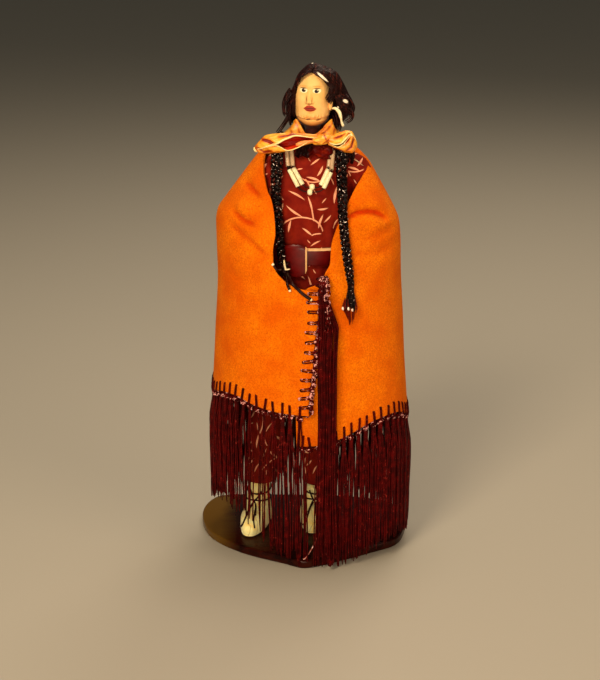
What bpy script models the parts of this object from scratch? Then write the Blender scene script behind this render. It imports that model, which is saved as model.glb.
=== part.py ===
"""A cloth doll wrapped in a felt blanket with a long knotted fringe, standing on a varnished board.

Metres, +Z up. The doll faces -Y. Left and right are as a viewer in front of the doll sees them,
so -X is left. The board's underside is at Z = 0, and the object's box is centred on the Z axis.
The doll's own proportions are written in 341sts of its height, which are millimetres on this doll.
"""
import math

import bmesh
import bpy
from mathutils import Vector

# Driving sizes
DOLL_HEIGHT = 0.341
BASE_WIDTH = 0.152
BASE_DEPTH = 0.111
BASE_THICKNESS = 0.006
BASE_TOP_ROUND = 0.0016
BASE_FOOT_ROUND = 0.0006
BASE_CENTRE_X = -0.0038
BASE_CENTRE_Y = 0.0031
FELT_THICKNESS = 0.0018
LAP_CLEARANCE = 0.0010
FRINGE_LENGTH = 0.090
FRINGE_FLOOR = 0.0014
FRINGE_THICKNESS = 0.0019
FRINGE_BAND = 0.006
TASSEL_PITCH = 0.0064
TASSEL_WIDTH = 0.0043
BUNDLE_WIDTH = 0.0098
BUNDLE_DEPTH = 0.0048
BELT_WIDTH = 0.0160
BELT_END_WIDTH = 0.0245
BELT_THICKNESS = 0.0019
COLLAR_THICKNESS = 0.0019
BRAID_RADIUS = 0.0033
TUBE_DIAMETER = 0.0028
TUBE_BORE = 0.0013
TUBE_LENGTH = 0.0132
CORD_DIAMETER = 0.0006
BEAD_DIAMETER = 0.0042
THONG_RADIUS = 0.0009

# Clearances
GAP = 0.0003
REST = 0.0006

UNIT = DOLL_HEIGHT / 341
FELT_POWER = 2.4
TORSO_POWER = 2.3
TORSO_X = 1.0
NECK_X = 2.1
BELT_MIDDLE = 216
WAIST_LEVELS = (196, 200, 208, 216, 224, 228)
BELT_START = math.radians(22)
BELT_END = math.radians(-357)
BELT_STEPS = 36
FACE_TURN = math.radians(8)

# Outline of the board, as shares of its half width and half depth
BASE_OUTLINE = [
    (-1.00, 0.40), (-0.93, 0.83), (-0.74, 1.00), (-0.20, 1.00), (0.38, 0.96), (0.82, 0.80),
    (0.98, 0.49), (1.00, 0.16), (0.90, -0.33), (0.62, -0.60), (0.20, -0.91), (0.00, -1.00),
    (-0.17, -0.89), (-0.60, -0.57), (-0.90, -0.14),
]

# Blanket: height, and its reach to the left, right, front and back of the doll's axis
BLANKET_REACH = [
    (85, 69.5, 71.0, 50.0, 46.5), (118, 67.7, 68.6, 49.5, 45.0), (150, 65.9, 66.2, 48.8, 42.5),
    (177, 64.1, 64.3, 47.6, 40.0), (203, 63.0, 63.1, 45.6, 37.5), (222, 63.4, 62.4, 43.0, 35.0),
    (234, 63.8, 61.1, 40.5, 33.0), (241, 62.6, 58.5, 38.8, 31.5), (250, 56.4, 54.0, 35.6, 29.5),
    (260, 48.8, 48.6, 31.0, 27.0), (270, 41.4, 43.0, 26.0, 24.0), (279, 34.6, 38.0, 21.0, 21.0),
    (284, 30.0, 34.0, 18.0, 18.5), (287.5, 25.5, 29.5, 15.0, 16.0),
]
# Height and X of the left panel's front edge, of the right panel's, and the height of the hem
LEFT_EDGE = [
    (80, -0.9), (121, -0.4), (141, 1.8), (166, 3.7), (176, 5.0), (196, 5.3), (197.6, -5.0),
    (200, -12.0), (204, -18.0), (209, -22.3), (219, -25.0), (234, -25.2), (255, -26.2),
    (265, -27.2), (271, -28.4), (277, -29.2), (283, -30.0),
]
RIGHT_EDGE = [
    (80, -5.0), (120, -6.0), (190, -6.0), (197, -2.0), (200, 4.0), (203, 8.5), (208, 10.5),
    (214, 13.6), (224, 14.2), (239, 18.7), (252, 24.3), (263, 30.0), (271, 35.1), (283, 37.2),
]
# Degrees round the blanket from the front by the left, and the height of the hem there
HEM_HEIGHT = [
    (-2, 107), (14, 110), (30, 115), (50, 123), (66, 122), (90, 118), (135, 110), (180, 104),
    (225, 100), (270, 99), (300, 104), (314, 101), (328, 95), (345, 88), (357, 85.5), (364, 86),
]
BLANKET_LEVELS = [85, 112, 142, 170, 188, 195.5, 198.5, 203, 209, 220, 234, 242, 252, 263, 275, 283, 287.5]
BLANKET_COLUMNS = 32
HEM_BLEND_TOP = 172
LAP_FADE_START = 22
LAP_FADE_END = 66

# Torso: height, half width, front, back
TORSO = [
    (180, 31.5, 25.5, 23.5), (196, 30.2, 25.0, 22.0), (208, 29.0, 24.5, 21.0),
    (224, 29.0, 24.6, 21.0), (244, 31.0, 26.0, 21.0), (262, 33.0, 26.3, 20.5),
    (274, 31.0, 24.6, 18.0), (281, 24.0, 20.6, 14.8), (286, 16.0, 15.0, 11.5), (290.6, 10.0, 9.4, 9.2),
]
# Sleeves: the middle of the arm, and its radius
SLEEVE_LEFT = [
    ((-14, -6, 263), 9.0), ((-25, -6, 264), 10.8), ((-34, -6, 253), 10.6), ((-48, -6, 237), 10.0),
    ((-50, -14, 223), 8.8), ((-45, -22, 214), 7.6), ((-42, -25, 211), 6.6),
]
SLEEVE_RIGHT = [
    ((16, -6, 262), 9.0), ((27, -8, 263), 11.8), ((35, -8, 252), 11.4), ((45, -6, 233), 10.4),
    ((47, -14, 218), 8.8), ((43, -22, 209), 7.6), ((40, -25, 206), 6.6),
]
# Legs: the middle of the trouser leg and its radius, from the cuff up
CUFF_HEIGHT = 41
HIP_HEIGHT = 120
LEG_LEFT = [((-35, 16, CUFF_HEIGHT), 12.0), ((-30, 11, 80), 13.5), ((-19, 3, HIP_HEIGHT), 16.5)]
LEG_RIGHT = [((8, 14, CUFF_HEIGHT), 13.5), ((12, 10, 80), 14.5), ((16, 3, HIP_HEIGHT), 16.5)]
PELVIS = [
    (104, 24.0, 15.0, 15.0), (118, 33.0, 20.0, 20.0), (150, 33.5, 23.5, 23.5), (179.5, 31.5, 25.0, 23.5),
]
# Moccasins: height, then half width, toe and heel reach from the ankle
MOCCASIN = [
    (0.3, 8.2, 26.0, 9.0), (2.0, 9.6, 28.2, 10.6), (6.0, 10.2, 28.6, 11.2), (10.0, 10.0, 26.5, 11.0),
    (14.0, 9.2, 20.0, 10.6), (18.0, 8.4, 11.5, 10.0), (24.0, 7.8, 8.6, 9.0), (32.0, 8.0, 8.4, 8.6),
    (CUFF_HEIGHT - 0.4, 8.6, 8.8, 8.8),
]
ANKLE_LEFT = (-36.0, 17.0)
ANKLE_RIGHT = (6.5, 14.5)
TOES_OUT_LEFT = math.radians(14)
TOES_OUT_RIGHT = math.radians(5)

# Head: height, half width, front, back, measured from the neck's axis
HEAD = [
    (290.9, 7.8, 7.6, 7.8), (296.0, 7.6, 7.4, 7.8), (298.2, 8.4, 9.2, 9.0), (300.6, 10.2, 11.4, 10.6),
    (304.0, 11.2, 12.4, 12.0), (311.0, 11.8, 12.9, 13.6), (318.0, 12.0, 13.1, 14.6),
    (325.0, 11.9, 13.0, 14.8), (331.0, 10.6, 12.0, 13.6), (335.0, 8.4, 10.0, 11.4),
    (338.0, 4.8, 6.4, 7.6), (339.2, 1.6, 2.0, 2.6),
]
HEAD_LEVELS = [
    290.9, 297, 300, 303, 306.5, 309, 311.2, 313.4, 315.6, 318.5, 322, 325.6, 330, 334, 337.4, 339.2,
]
NOSE_TIP_HEIGHT = 315.6
NOSE_LENGTH = 7.4
NOSE_REACH = 2.3
EYE_HEIGHT = 322.6
EYE_OFFSET = 4.2
BROW_HEIGHT = 325.6
MOUTH_HEIGHT = 311.2
EAR_HEIGHT = 313.0
EAR_REACH = 2.0
# Heights of the hair's rings, and of the rings of the room for the head inside it
HAIR_LEVELS = (296, 300, 304.5, 309, 313.5, 318, 323, 328, 333, 337, 339.8, 341)
HEAD_ROOM_LEVELS = (280, 297, 300, 304, 309, 313, 317, 322, 327, 332, 336, 338.6, 340)
# Hair: height, then left, right, front and back of the neck's axis
HAIR = [
    (296.0, 17.0, 17.0, 6.0, 18.5), (300.0, 18.5, 21.5, 8.5, 19.5), (305.0, 19.2, 26.5, 10.5, 20.0),
    (311.0, 19.4, 28.4, 12.5, 20.0), (317.0, 16.6, 26.2, 14.0, 19.6), (323.0, 14.4, 21.8, 15.2, 18.6),
    (330.0, 13.0, 17.0, 15.0, 17.2), (335.6, 9.8, 12.6, 12.8, 14.2), (339.6, 5.0, 8.4, 8.0, 9.0),
    (341.0, 1.6, 2.6, 2.6, 2.6),
]
# Where the hair leaves the face bare, as X and height, walked round
FACE_OPENING = [
    (-11.4, 286), (-10.9, 306), (-10.0, 318), (-8.6, 325.5), (-5.2, 331.5), (-0.4, 335.2),
    (3.4, 333.6), (8.2, 328.2), (12.8, 322.6), (11.0, 316.6), (12.6, 313.0), (15.6, 317.0),
    (17.4, 311.0), (18.0, 304.0), (17.0, 286),
]
LOCK_COUNT = 14

# Braids: X and height of the middle, and the share of the full radius
BRAID_LEFT = [
    (-21.4, 278.0, 1.25), (-21.8, 270.0, 1.25), (-22.2, 262.0, 1.10), (-21.6, 251.0, 1.0),
    (-20.8, 240.0, 1.0), (-19.8, 227.0, 0.95), (-19.0, 216.0, 0.90), (-18.2, 208.0, 0.75),
]
BRAID_RIGHT = [
    (20.8, 278.0, 1.22), (21.0, 270.0, 1.20), (21.4, 260.6, 1.10), (21.6, 248.0, 1.0),
    (22.4, 237.0, 1.0), (23.6, 226.8, 1.0), (25.0, 216.5, 0.98), (26.5, 206.0, 0.90),
    (27.2, 198.0, 0.62), (27.2, 191.0, 1.05), (27.2, 182.0, 1.20), (28.0, 173.0, 0.55),
]
BRAID_TOP_LEFT = [(-18.6, -3.0, 291.4, 1.05), (-20.8, -13.0, 289.6, 1.15), (-21.2, -20.5, 285.6, 1.20)]
BRAID_TOP_RIGHT = [(21.2, -3.0, 291.4, 1.05), (21.4, -13.0, 289.6, 1.15), (21.2, -20.5, 285.6, 1.20)]
BRAID_CHEST_TOP = 267
BRAID_OFF_BELT = 238
BRAID_OVER_FELT = 268
BRAID_OVER_FELT_RUN = 15
LOOSE_END_TOP = 197
PLAITS = 15

# Scarf: rings of the two loops, as X, height, half height, Y, half depth
LOOP_LEFT = [
    (8, 293.4, 3.0, -26.6, 2.4), (-2, 292.8, 4.2, -27.8, 3.0), (-12, 292.0, 5.6, -28.6, 3.6),
    (-22, 290.8, 5.4, -29.0, 3.6), (-30, 288.8, 4.4, -28.4, 3.0), (-36.0, 287.6, 2.0, -27.6, 1.6),
]
LOOP_RIGHT = [
    (12, 293.4, 3.0, -26.6, 2.4), (19, 292.8, 5.4, -28.2, 3.4), (25.5, 291.6, 7.0, -28.8, 3.6),
    (29.5, 290.2, 5.4, -28.4, 3.0), (31.6, 289.6, 2.4, -27.8, 1.5),
]
KNOT = ((10.3, -28.6, 293.6), (4.6, 4.2, 5.0))
BIB = ((4.0, -18.4, 292.6), (14.5, 8.6, 3.4))
COLLAR_BOTTOM = 291.4
COLLAR_INNER = 9.9
COLLAR_FLARE = 0.30
COLLAR_TOP = [(0, 296.0), (28, 298.6), (50, 303.0), (80, 301.0), (180, 299.0)]

# Necklace: X and height along the outer and the inner strand
STRAND_OUTER = [
    (-14.6, 287.5), (-13.6, 273.5), (-7.2, 261.2), (0.2, 257.4), (9.0, 260.8), (13.4, 272.8), (14.2, 287.0),
]
STRAND_INNER = [
    (-11.2, 287.5), (-10.2, 274.5), (-4.0, 263.6), (1.8, 261.6), (6.2, 263.8), (9.9, 275.2), (10.7, 287.0),
]
CHEST_TOP = 281
CHEST_SAG = 1.2

# Ear drop: its middle and radius, from the ear down
EAR_DROP = [
    ((15.0, -5.6, 310.0), 0.8), ((15.4, -6.8, 308.6), 1.5), ((16.4, -9.6, 307.6), 0.8),
    ((18.2, -12.4, 307.4), 1.3), ((20.8, -12.4, 304.8), 1.4), ((21.4, -12.2, 303.4), 0.8),
    ((21.8, -12.0, 301.6), 1.1), ((22.4, -11.8, 297.4), 1.2), ((22.5, -11.8, 296.6), 0.6),
]
# Front bundle: X of its middle by height, and how far it climbs over the left panel's corner
BUNDLE_X = [(0, 11.2), (165, 11.2), (185, 10.0), (198, 8.2), (206, 8.0)]
BUNDLE_LIFT = [(165, 0.0), (190, 1.0)]
# Thong that ties the left braid: its two loose ends, as X, reach in front of the felt, height
THONG_SHORT = [(-16.4, 1.3, 206.6), (-17.2, 1.6, 200.0), (-16.8, 1.4, 192.4)]
THONG_LONG = [(-15.4, 1.3, 206.2), (-12.6, 1.6, 198.0), (-7.4, 1.4, 193.0), (-2.6, 1.4, 189.2)]


def start_scene():
    """Remove what the scene holds, and make the two empties that carry the object."""
    for old in list(bpy.data.objects):
        bpy.data.objects.remove(old, do_unlink=True)
    centre = bpy.data.objects.new("centre", None)
    doll = bpy.data.objects.new("doll", None)
    for empty in (centre, doll):
        bpy.context.scene.collection.objects.link(empty)
    doll.parent = centre
    doll.location.z = BASE_THICKNESS
    return centre, doll


def paint(name, colour, roughness, metallic=0.0):
    """A Principled material of one plain colour."""
    material = bpy.data.materials.new(name)
    material.use_nodes = True
    shader = material.node_tree.nodes["Principled BSDF"]
    shader.inputs["Base Color"].default_value = (*colour, 1.0)
    shader.inputs["Roughness"].default_value = roughness
    shader.inputs["Metallic"].default_value = metallic
    return material


def scaled(point):
    """A point of the doll's proportions, in metres."""
    return Vector(point) * UNIT


def along(table, place):
    """The values of a table at one place, joined by curves that never overshoot."""
    if place <= table[0][0]:
        return table[0][1:]
    if place >= table[-1][0]:
        return table[-1][1:]
    k = max(i for i in range(len(table)) if table[i][0] <= place)
    span = table[k + 1][0] - table[k][0]
    t = (place - table[k][0]) / span
    values = []
    for column in range(1, len(table[0])):
        step = slope_between(table, k, column)
        before = slope_between(table, k - 1, column) if k > 0 else step
        after = slope_between(table, k + 1, column) if k + 2 < len(table) else step
        start, end = gentle(before, step) * span, gentle(step, after) * span
        low, high = table[k][column], table[k + 1][column]
        values.append(
            low * (1 + 2 * t) * (1 - t) ** 2
            + start * t * (1 - t) ** 2
            + high * t * t * (3 - 2 * t)
            + end * t * t * (t - 1)
        )
    return tuple(values)


def slope_between(table, k, column):
    """The slope between two neighbouring rows of a table."""
    return (table[k + 1][column] - table[k][column]) / (table[k + 1][0] - table[k][0])


def gentle(before, after):
    """A slope between two others, flat where they turn round."""
    if before * after <= 0:
        return 0.0
    return 2 * before * after / (before + after)


def through(points, steps, closed=False):
    """A smooth line through points, with the given steps between each two."""
    points = [Vector(p) for p in points]
    count = len(points)
    last = count if closed else count - 1
    line = []
    for k in range(last):
        if closed:
            a, b, c, d = (points[(k + i) % count] for i in (-1, 0, 1, 2))
        else:
            a, b, c, d = (points[min(max(k + i, 0), count - 1)] for i in (-1, 0, 1, 2))
        for i in range(steps):
            t = i / steps
            line.append(0.5 * (2 * b + (c - a) * t + (2 * a - 5 * b + 4 * c - d) * t ** 2
                               + (3 * b - a - 3 * c + d) * t ** 3))
    if not closed:
        line.append(points[-1])
    return line


def signed_power(value, power):
    return math.copysign(abs(value) ** power, value)


def round_outline(angle, left, right, front, back, power):
    """A point of a rounded outline. Angle 0 faces the front, and a quarter turn the left."""
    side, ahead = math.sin(angle), math.cos(angle)
    x = -signed_power(side, 2 / power) * (left if side > 0 else right)
    y = -signed_power(ahead, 2 / power) * (front if ahead > 0 else back)
    return x, y


def level_ring(height, half, front, back, power, sides):
    """A level ring round the torso's axis."""
    outline = [round_outline(2 * math.pi * i / sides, half, half, front, back, power) for i in range(sides)]
    return [scaled((TORSO_X + x, y, height)) for x, y in outline]


def add_object(name, mesh_builder, material, parent):
    """Put a finished bmesh into the scene as one named object."""
    bmesh.ops.recalc_face_normals(mesh_builder, faces=mesh_builder.faces)
    mesh = bpy.data.meshes.new(name)
    mesh_builder.to_mesh(mesh)
    mesh_builder.free()
    mesh.materials.append(material)
    mesh.shade_smooth()
    mesh.set_sharp_from_angle(angle=math.radians(50))
    piece = bpy.data.objects.new(name, mesh)
    bpy.context.scene.collection.objects.link(piece)
    piece.parent = parent
    return piece


def loft(name, rings, material, parent):
    """A closed solid through rings of equal counts, capped at both ends."""
    builder = bmesh.new()
    loops = [[builder.verts.new(p) for p in ring] for ring in rings]
    count = len(loops[0])
    for lower, upper in zip(loops, loops[1:]):
        for i in range(count):
            j = (i + 1) % count
            builder.faces.new((lower[i], lower[j], upper[j], upper[i]))
    builder.faces.new(list(reversed(loops[0])))
    builder.faces.new(loops[-1])
    return add_object(name, builder, material, parent)


def tube_rings(stations, sides):
    """Rings square to a bent line. Each station is a point and a radius, in metres."""
    rings = []
    side = None
    for k, (point, radius) in enumerate(stations):
        ahead = stations[min(k + 1, len(stations) - 1)][0] - stations[max(k - 1, 0)][0]
        ahead = ahead.normalized()
        if side is None:
            side = ahead.orthogonal().normalized()
        side = (side - ahead * side.dot(ahead)).normalized()
        across = ahead.cross(side)
        rings.append([
            point + radius * (math.cos(turn) * side + math.sin(turn) * across)
            for turn in (2 * math.pi * i / sides for i in range(sides))
        ])
    return rings


def smooth_stations(stations, steps):
    """Points and radii on a smooth line through a few of them."""
    line = through([(*scaled(point), radius * UNIT) for point, radius in stations], steps)
    return [(Vector(p[:3]), p[3]) for p in line]


def ball(name, centre, radii, material, parent, around=14, rows=8):
    """A closed ball or egg."""
    builder = bmesh.new()
    bmesh.ops.create_uvsphere(builder, u_segments=around, v_segments=rows, radius=1)
    for vert in builder.verts:
        vert.co = Vector(centre) + Vector(a * b for a, b in zip(vert.co, radii))
    return add_object(name, builder, material, parent)


def add_boolean(piece, tool, operation):
    """Join a tool to a piece or cut it away, and leave the tool out of the model."""
    tool.hide_render = True
    tool.display_type = "WIRE"
    step = piece.modifiers.new(operation.lower() + "_" + tool.name, "BOOLEAN")
    step.operation = operation
    step.object = tool


def torso_front(x, height):
    """How far in front of the axis the shirt's chest is, in metres."""
    half, front, back = along(TORSO, height)
    share = min(abs(x - TORSO_X) / half, 0.98)
    return UNIT * front * (1 - share ** TORSO_POWER) ** (1 / TORSO_POWER)


def belt_front(x):
    """How far in front of the axis both layers of the belt reach, in metres."""
    half, front, back = waist_reach()
    layers = 2 * (BELT_THICKNESS + GAP)
    share = min(abs(x - TORSO_X) * UNIT / (half + layers), 0.98)
    return (front + layers) * (1 - share ** TORSO_POWER) ** (1 / TORSO_POWER)


def waist_reach():
    """The half width, front and back that clear the shirt all over the belt's height."""
    rows = [along(TORSO, height) for height in WAIST_LEVELS]
    return [max(row[k] for row in rows) * UNIT + GAP for k in range(3)]


def blanket_front(x, height):
    """How far in front of the axis the blanket's outer face is, in metres."""
    left, right, front, back = along(BLANKET_REACH, height)
    share = min(abs(x) / (left if x < 0 else right), 0.98)
    return UNIT * front * (1 - share ** FELT_POWER) ** (1 / FELT_POWER)


def edge_turn(table, height):
    """The angle, from the front by the left, of a panel's edge at one height."""
    x = along(table, height)[0]
    left, right, front, back = along(BLANKET_REACH, height)
    share = min(abs(x) / (left if x < 0 else right), 1.0)
    turn = math.asin(share ** (FELT_POWER / 2))
    return turn if x < 0 else -turn


def blanket_span(height):
    """The angles of the left panel's edge and of the right panel's, a full turn on."""
    return edge_turn(LEFT_EDGE, height), 2 * math.pi + edge_turn(RIGHT_EDGE, height)


def lap(turn):
    """How far the left panel stands out, to lie over the right panel."""
    out = (math.degrees(turn) - LAP_FADE_START) / (LAP_FADE_END - LAP_FADE_START)
    out = min(max(out, 0.0), 1.0)
    return (FELT_THICKNESS + LAP_CLEARANCE) * (1 - out * out * (3 - 2 * out))


def hem_height(turn):
    return along(HEM_HEIGHT, math.degrees(turn))[0]


def felt_point(turn, height):
    """A point of the blanket's outer face."""
    x, y = round_outline(turn, *along(BLANKET_REACH, height), FELT_POWER)
    flat = Vector((x, y, 0))
    out = flat.normalized() * lap(turn)
    return scaled((x, y, height)) + out


def blanket_grid(columns):
    """Rows of points on the blanket's outer face, from the hem up, from edge to edge."""
    rows = []
    for level in BLANKET_LEVELS:
        low = BLANKET_LEVELS[0]
        drop = max(0.0, 1 - (level - low) / (HEM_BLEND_TOP - low))
        row = []
        for i in range(columns + 1):
            share = i / columns
            start, end = blanket_span(level)
            turn = start + (end - start) * share
            height = level + (hem_height(turn) - low) * drop
            start, end = blanket_span(height)
            turn = start + (end - start) * share
            row.append(felt_point(turn, height))
        rows.append(row)
    return rows


def shell(name, rows, thickness, material, parent):
    """A closed cloth of even thickness behind a grid of points."""
    builder = bmesh.new()
    last_row, last = len(rows) - 1, len(rows[0]) - 1
    outer = [[builder.verts.new(p) for p in row] for row in rows]
    inner = []
    for j, row in enumerate(rows):
        line = []
        for i, point in enumerate(row):
            run = row[min(i + 1, last)] - row[max(i - 1, 0)]
            rise = rows[min(j + 1, last_row)][i] - rows[max(j - 1, 0)][i]
            inward = rise.cross(run).normalized()
            if inward.dot(Vector((point.x, point.y, 0))) > 0:
                inward = -inward
            line.append(builder.verts.new(point + inward * thickness))
        inner.append(line)
    for j in range(last_row):
        for i in range(last):
            for face in (outer, inner):
                builder.faces.new((face[j][i], face[j][i + 1], face[j + 1][i + 1], face[j + 1][i]))
    for i in range(last):
        for j in (0, last_row):
            builder.faces.new((outer[j][i], outer[j][i + 1], inner[j][i + 1], inner[j][i]))
    for j in range(last_row):
        for i in (0, last):
            builder.faces.new((outer[j][i], outer[j + 1][i], inner[j + 1][i], inner[j][i]))
    return add_object(name, builder, material, parent)


def make_base(parent):
    """The board: an irregular rounded outline with a softened edge."""
    half = Vector((BASE_WIDTH / 2, BASE_DEPTH / 2, 0))
    outline = through([(x, y, 0) for x, y in BASE_OUTLINE], 3, closed=True)
    levels = [
        (0, BASE_FOOT_ROUND), (BASE_FOOT_ROUND, 0),
        (BASE_THICKNESS - BASE_TOP_ROUND, 0), (BASE_THICKNESS - 0.3 * BASE_TOP_ROUND, 0.3 * BASE_TOP_ROUND),
        (BASE_THICKNESS, BASE_TOP_ROUND),
    ]
    rings = []
    for height, inset in levels:
        rings.append([
            Vector((BASE_CENTRE_X + p.x * (half.x - inset), BASE_CENTRE_Y + p.y * (half.y - inset), height))
            for p in outline
        ])
    return loft("base", rings, paint("varnished_wood", (0.020, 0.007, 0.004), 0.16), parent)


def make_moccasin(name, ankle, turn, parent):
    """A soft boot: a rounded foot, and a shaft up into the trouser cuff."""
    rings = []
    for height, half, toe, heel in MOCCASIN:
        ring = []
        for i in range(14):
            x, y = round_outline(2 * math.pi * i / 14, half, half, toe, heel, 2.2)
            ring.append(scaled((
                ankle[0] + x * math.cos(turn) + y * math.sin(turn),
                ankle[1] + y * math.cos(turn) - x * math.sin(turn),
                height,
            )))
        rings.append(ring)
    return loft(name, rings, paint(name + "_hide", (0.82, 0.62, 0.28), 0.75), parent)


def make_trousers(parent):
    """Two trouser legs and the seat, as one garment."""
    cloth = paint("printed_cotton_trousers", (0.14, 0.012, 0.010), 0.8)
    rings = []
    for height, half, front, back in PELVIS:
        rings.append(level_ring(height, half, front, back, 2.2, 16))
    trousers = loft("trousers", rings, cloth, parent)
    for name, leg in (("leg_left", LEG_LEFT), ("leg_right", LEG_RIGHT)):
        rings = []
        for (x, y, height), radius in (leg_station(leg, share / 4) for share in range(5)):
            rings.append([
                scaled((x + radius * math.cos(turn), y + radius * math.sin(turn), height))
                for turn in (2 * math.pi * i / 12 for i in range(12))
            ])
        add_boolean(trousers, loft(name, rings, cloth, parent), "UNION")
    return trousers


def leg_station(leg, share):
    """A level station of a leg, by its share of the way from the cuff to the hip."""
    table = [(point[2], point[0], point[1], radius) for point, radius in leg]
    height = table[0][0] + (table[-1][0] - table[0][0]) * share
    x, y, radius = along(table, height)
    return (x, y, height), radius


def make_shirt(parent):
    """The stuffed body in its shirt, with both sleeves bent to hold the blanket."""
    cloth = paint("printed_cotton_shirt", (0.17, 0.014, 0.011), 0.8)
    rings = []
    for height, half, front, back in TORSO:
        rings.append(level_ring(height, half, front, back, TORSO_POWER, 20))
    shirt = loft("shirt", rings, cloth, parent)
    for name, arm in (("sleeve_left", SLEEVE_LEFT), ("sleeve_right", SLEEVE_RIGHT)):
        sleeve = loft(name, tube_rings(smooth_stations(arm, 2), 10), cloth, parent)
        add_boolean(shirt, sleeve, "UNION")
    return shirt


def make_belt(parent):
    """One strap round the waist, whose wide end laps over its start at the left of the front."""
    half, front, back = waist_reach()
    middle = BELT_MIDDLE * UNIT
    rings = []
    for k in range(BELT_STEPS + 1):
        share = k / BELT_STEPS
        turn = BELT_START + (BELT_END - BELT_START) * share
        over = min(max((share - 0.80) / 0.10, 0.0), 1.0)
        inner = (BELT_THICKNESS + GAP) * over
        wide = min(max((share - 0.86) / 0.10, 0.0), 1.0)
        top = middle + BELT_WIDTH / 2 + 0.0006 * wide
        foot = middle - BELT_WIDTH / 2 - (BELT_END_WIDTH - BELT_WIDTH) * wide
        if k == BELT_STEPS:
            top, foot = top - 0.0008, foot + 0.0016
        ring = []
        for out, height in ((inner, foot), (inner + BELT_THICKNESS, foot),
                            (inner + BELT_THICKNESS, top), (inner, top)):
            x, y = round_outline(turn, half + out, half + out, front + out, back + out, TORSO_POWER)
            ring.append(Vector((TORSO_X * UNIT + x, y, height)))
        rings.append(ring)
    return loft("belt", rings, paint("glossy_leather", (0.08, 0.004, 0.004), 0.25), parent)


def make_blanket(parent):
    felt = paint("orange_felt", (0.78, 0.17, 0.008), 0.95)
    return shell("blanket", blanket_grid(BLANKET_COLUMNS), FELT_THICKNESS, felt, parent)


def walk(line, distances):
    """Points and headings at distances along a line."""
    found = []
    travelled, k = 0.0, 0
    for distance in distances:
        while k < len(line) - 2 and travelled + (line[k + 1] - line[k]).length < distance:
            travelled += (line[k + 1] - line[k]).length
            k += 1
        run = line[k + 1] - line[k]
        found.append((line[k] + run.normalized() * (distance - travelled), run.normalized()))
    return found


def make_hem_fringe(parent):
    """The knotted band under the hem and the tassels that hang from it, as one comb."""
    line = blanket_grid(BLANKET_COLUMNS)[0]
    length = sum((b - a).length for a, b in zip(line, line[1:]))
    count = int(length / TASSEL_PITCH)
    margin = (length - count * TASSEL_PITCH) / 2
    distances = []
    for i in range(count):
        middle = margin + (i + 0.5) * TASSEL_PITCH
        distances += [middle - TASSEL_WIDTH / 2, middle + TASSEL_WIDTH / 2]
    builder = bmesh.new()
    columns = []
    for k, (point, run) in enumerate(walk(line, distances)):
        flat = Vector((run.x, run.y, 0)).normalized()
        inward = Vector((-flat.y, flat.x, 0))
        if inward.dot(Vector((point.x, point.y, 0))) > 0:
            inward = -inward
        top = point.z - GAP
        uneven = 0.0012 * math.sin(1.7 * (k // 2)) + 0.0008 * math.sin(4.1 * (k // 2))
        foot = max(point.z - FRINGE_LENGTH, FRINGE_FLOOR + 0.002) + uneven
        column = []
        for depth in (0, FRINGE_THICKNESS):
            place = point + inward * depth
            column.append([builder.verts.new((place.x, place.y, z)) for z in (top, top - FRINGE_BAND, foot)])
        columns.append(column)
    for k in range(len(columns) - 1):
        (out_a, in_a), (out_b, in_b) = columns[k], columns[k + 1]
        builder.faces.new((out_a[1], out_b[1], out_b[0], out_a[0]))
        builder.faces.new((in_a[0], in_b[0], in_b[1], in_a[1]))
        builder.faces.new((out_a[0], out_b[0], in_b[0], in_a[0]))
        if k % 2 == 0:
            builder.faces.new((out_a[2], out_b[2], out_b[1], out_a[1]))
            builder.faces.new((in_a[1], in_b[1], in_b[2], in_a[2]))
            builder.faces.new((out_a[2], in_a[2], in_b[2], out_b[2]))
            builder.faces.new((out_a[1], in_a[1], in_a[2], out_a[2]))
            builder.faces.new((out_b[2], in_b[2], in_b[1], out_b[1]))
        else:
            builder.faces.new((out_a[1], in_a[1], in_b[1], out_b[1]))
    for (out, inside) in (columns[0], columns[-1]):
        builder.faces.new((out[0], out[1], inside[1], inside[0]))
    return add_object("hem_fringe", builder, paint("maroon_thread", (0.09, 0.004, 0.005), 0.5), parent)


def make_front_fringe(parent):
    """The bundle of threads that hangs from the knot at the top of the front edge."""
    stations = [
        (-1.6, 0.80), (6, 0.95), (30, 1.0), (60, 1.0), (100, 1.0), (140, 0.98), (170, 0.90), (188, 0.70),
        (195, 0.52), (198, 0.50), (201, 0.72), (204.5, 0.80), (207.5, 0.50),
    ]
    rings = []
    for height, share in stations:
        flare = 0.0020 * max(0.0, 1 - height / 60)
        back = blanket_front(BUNDLE_X[0][1], max(height, BLANKET_LEVELS[0])) + REST + flare
        back += lap(0) * along(BUNDLE_LIFT, height)[0]
        middle_x = scaled(along(BUNDLE_X, height) + (0, 0)).x
        ring = []
        for i in range(16):
            turn = 2 * math.pi * i / 16
            rib = 1 + 0.05 * math.cos(8 * turn)
            x, y = round_outline(turn, 1, 1, 1, 1, 2.8)
            ring.append(Vector((
                middle_x + x * rib * share * BUNDLE_WIDTH / 2,
                -back - BUNDLE_DEPTH / 2 * 1.06 + y * rib * BUNDLE_DEPTH / 2,
                height * UNIT,
            )))
        rings.append(ring)
    return loft("front_fringe", rings, paint("maroon_thread_front", (0.09, 0.004, 0.005), 0.5), parent)


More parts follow.
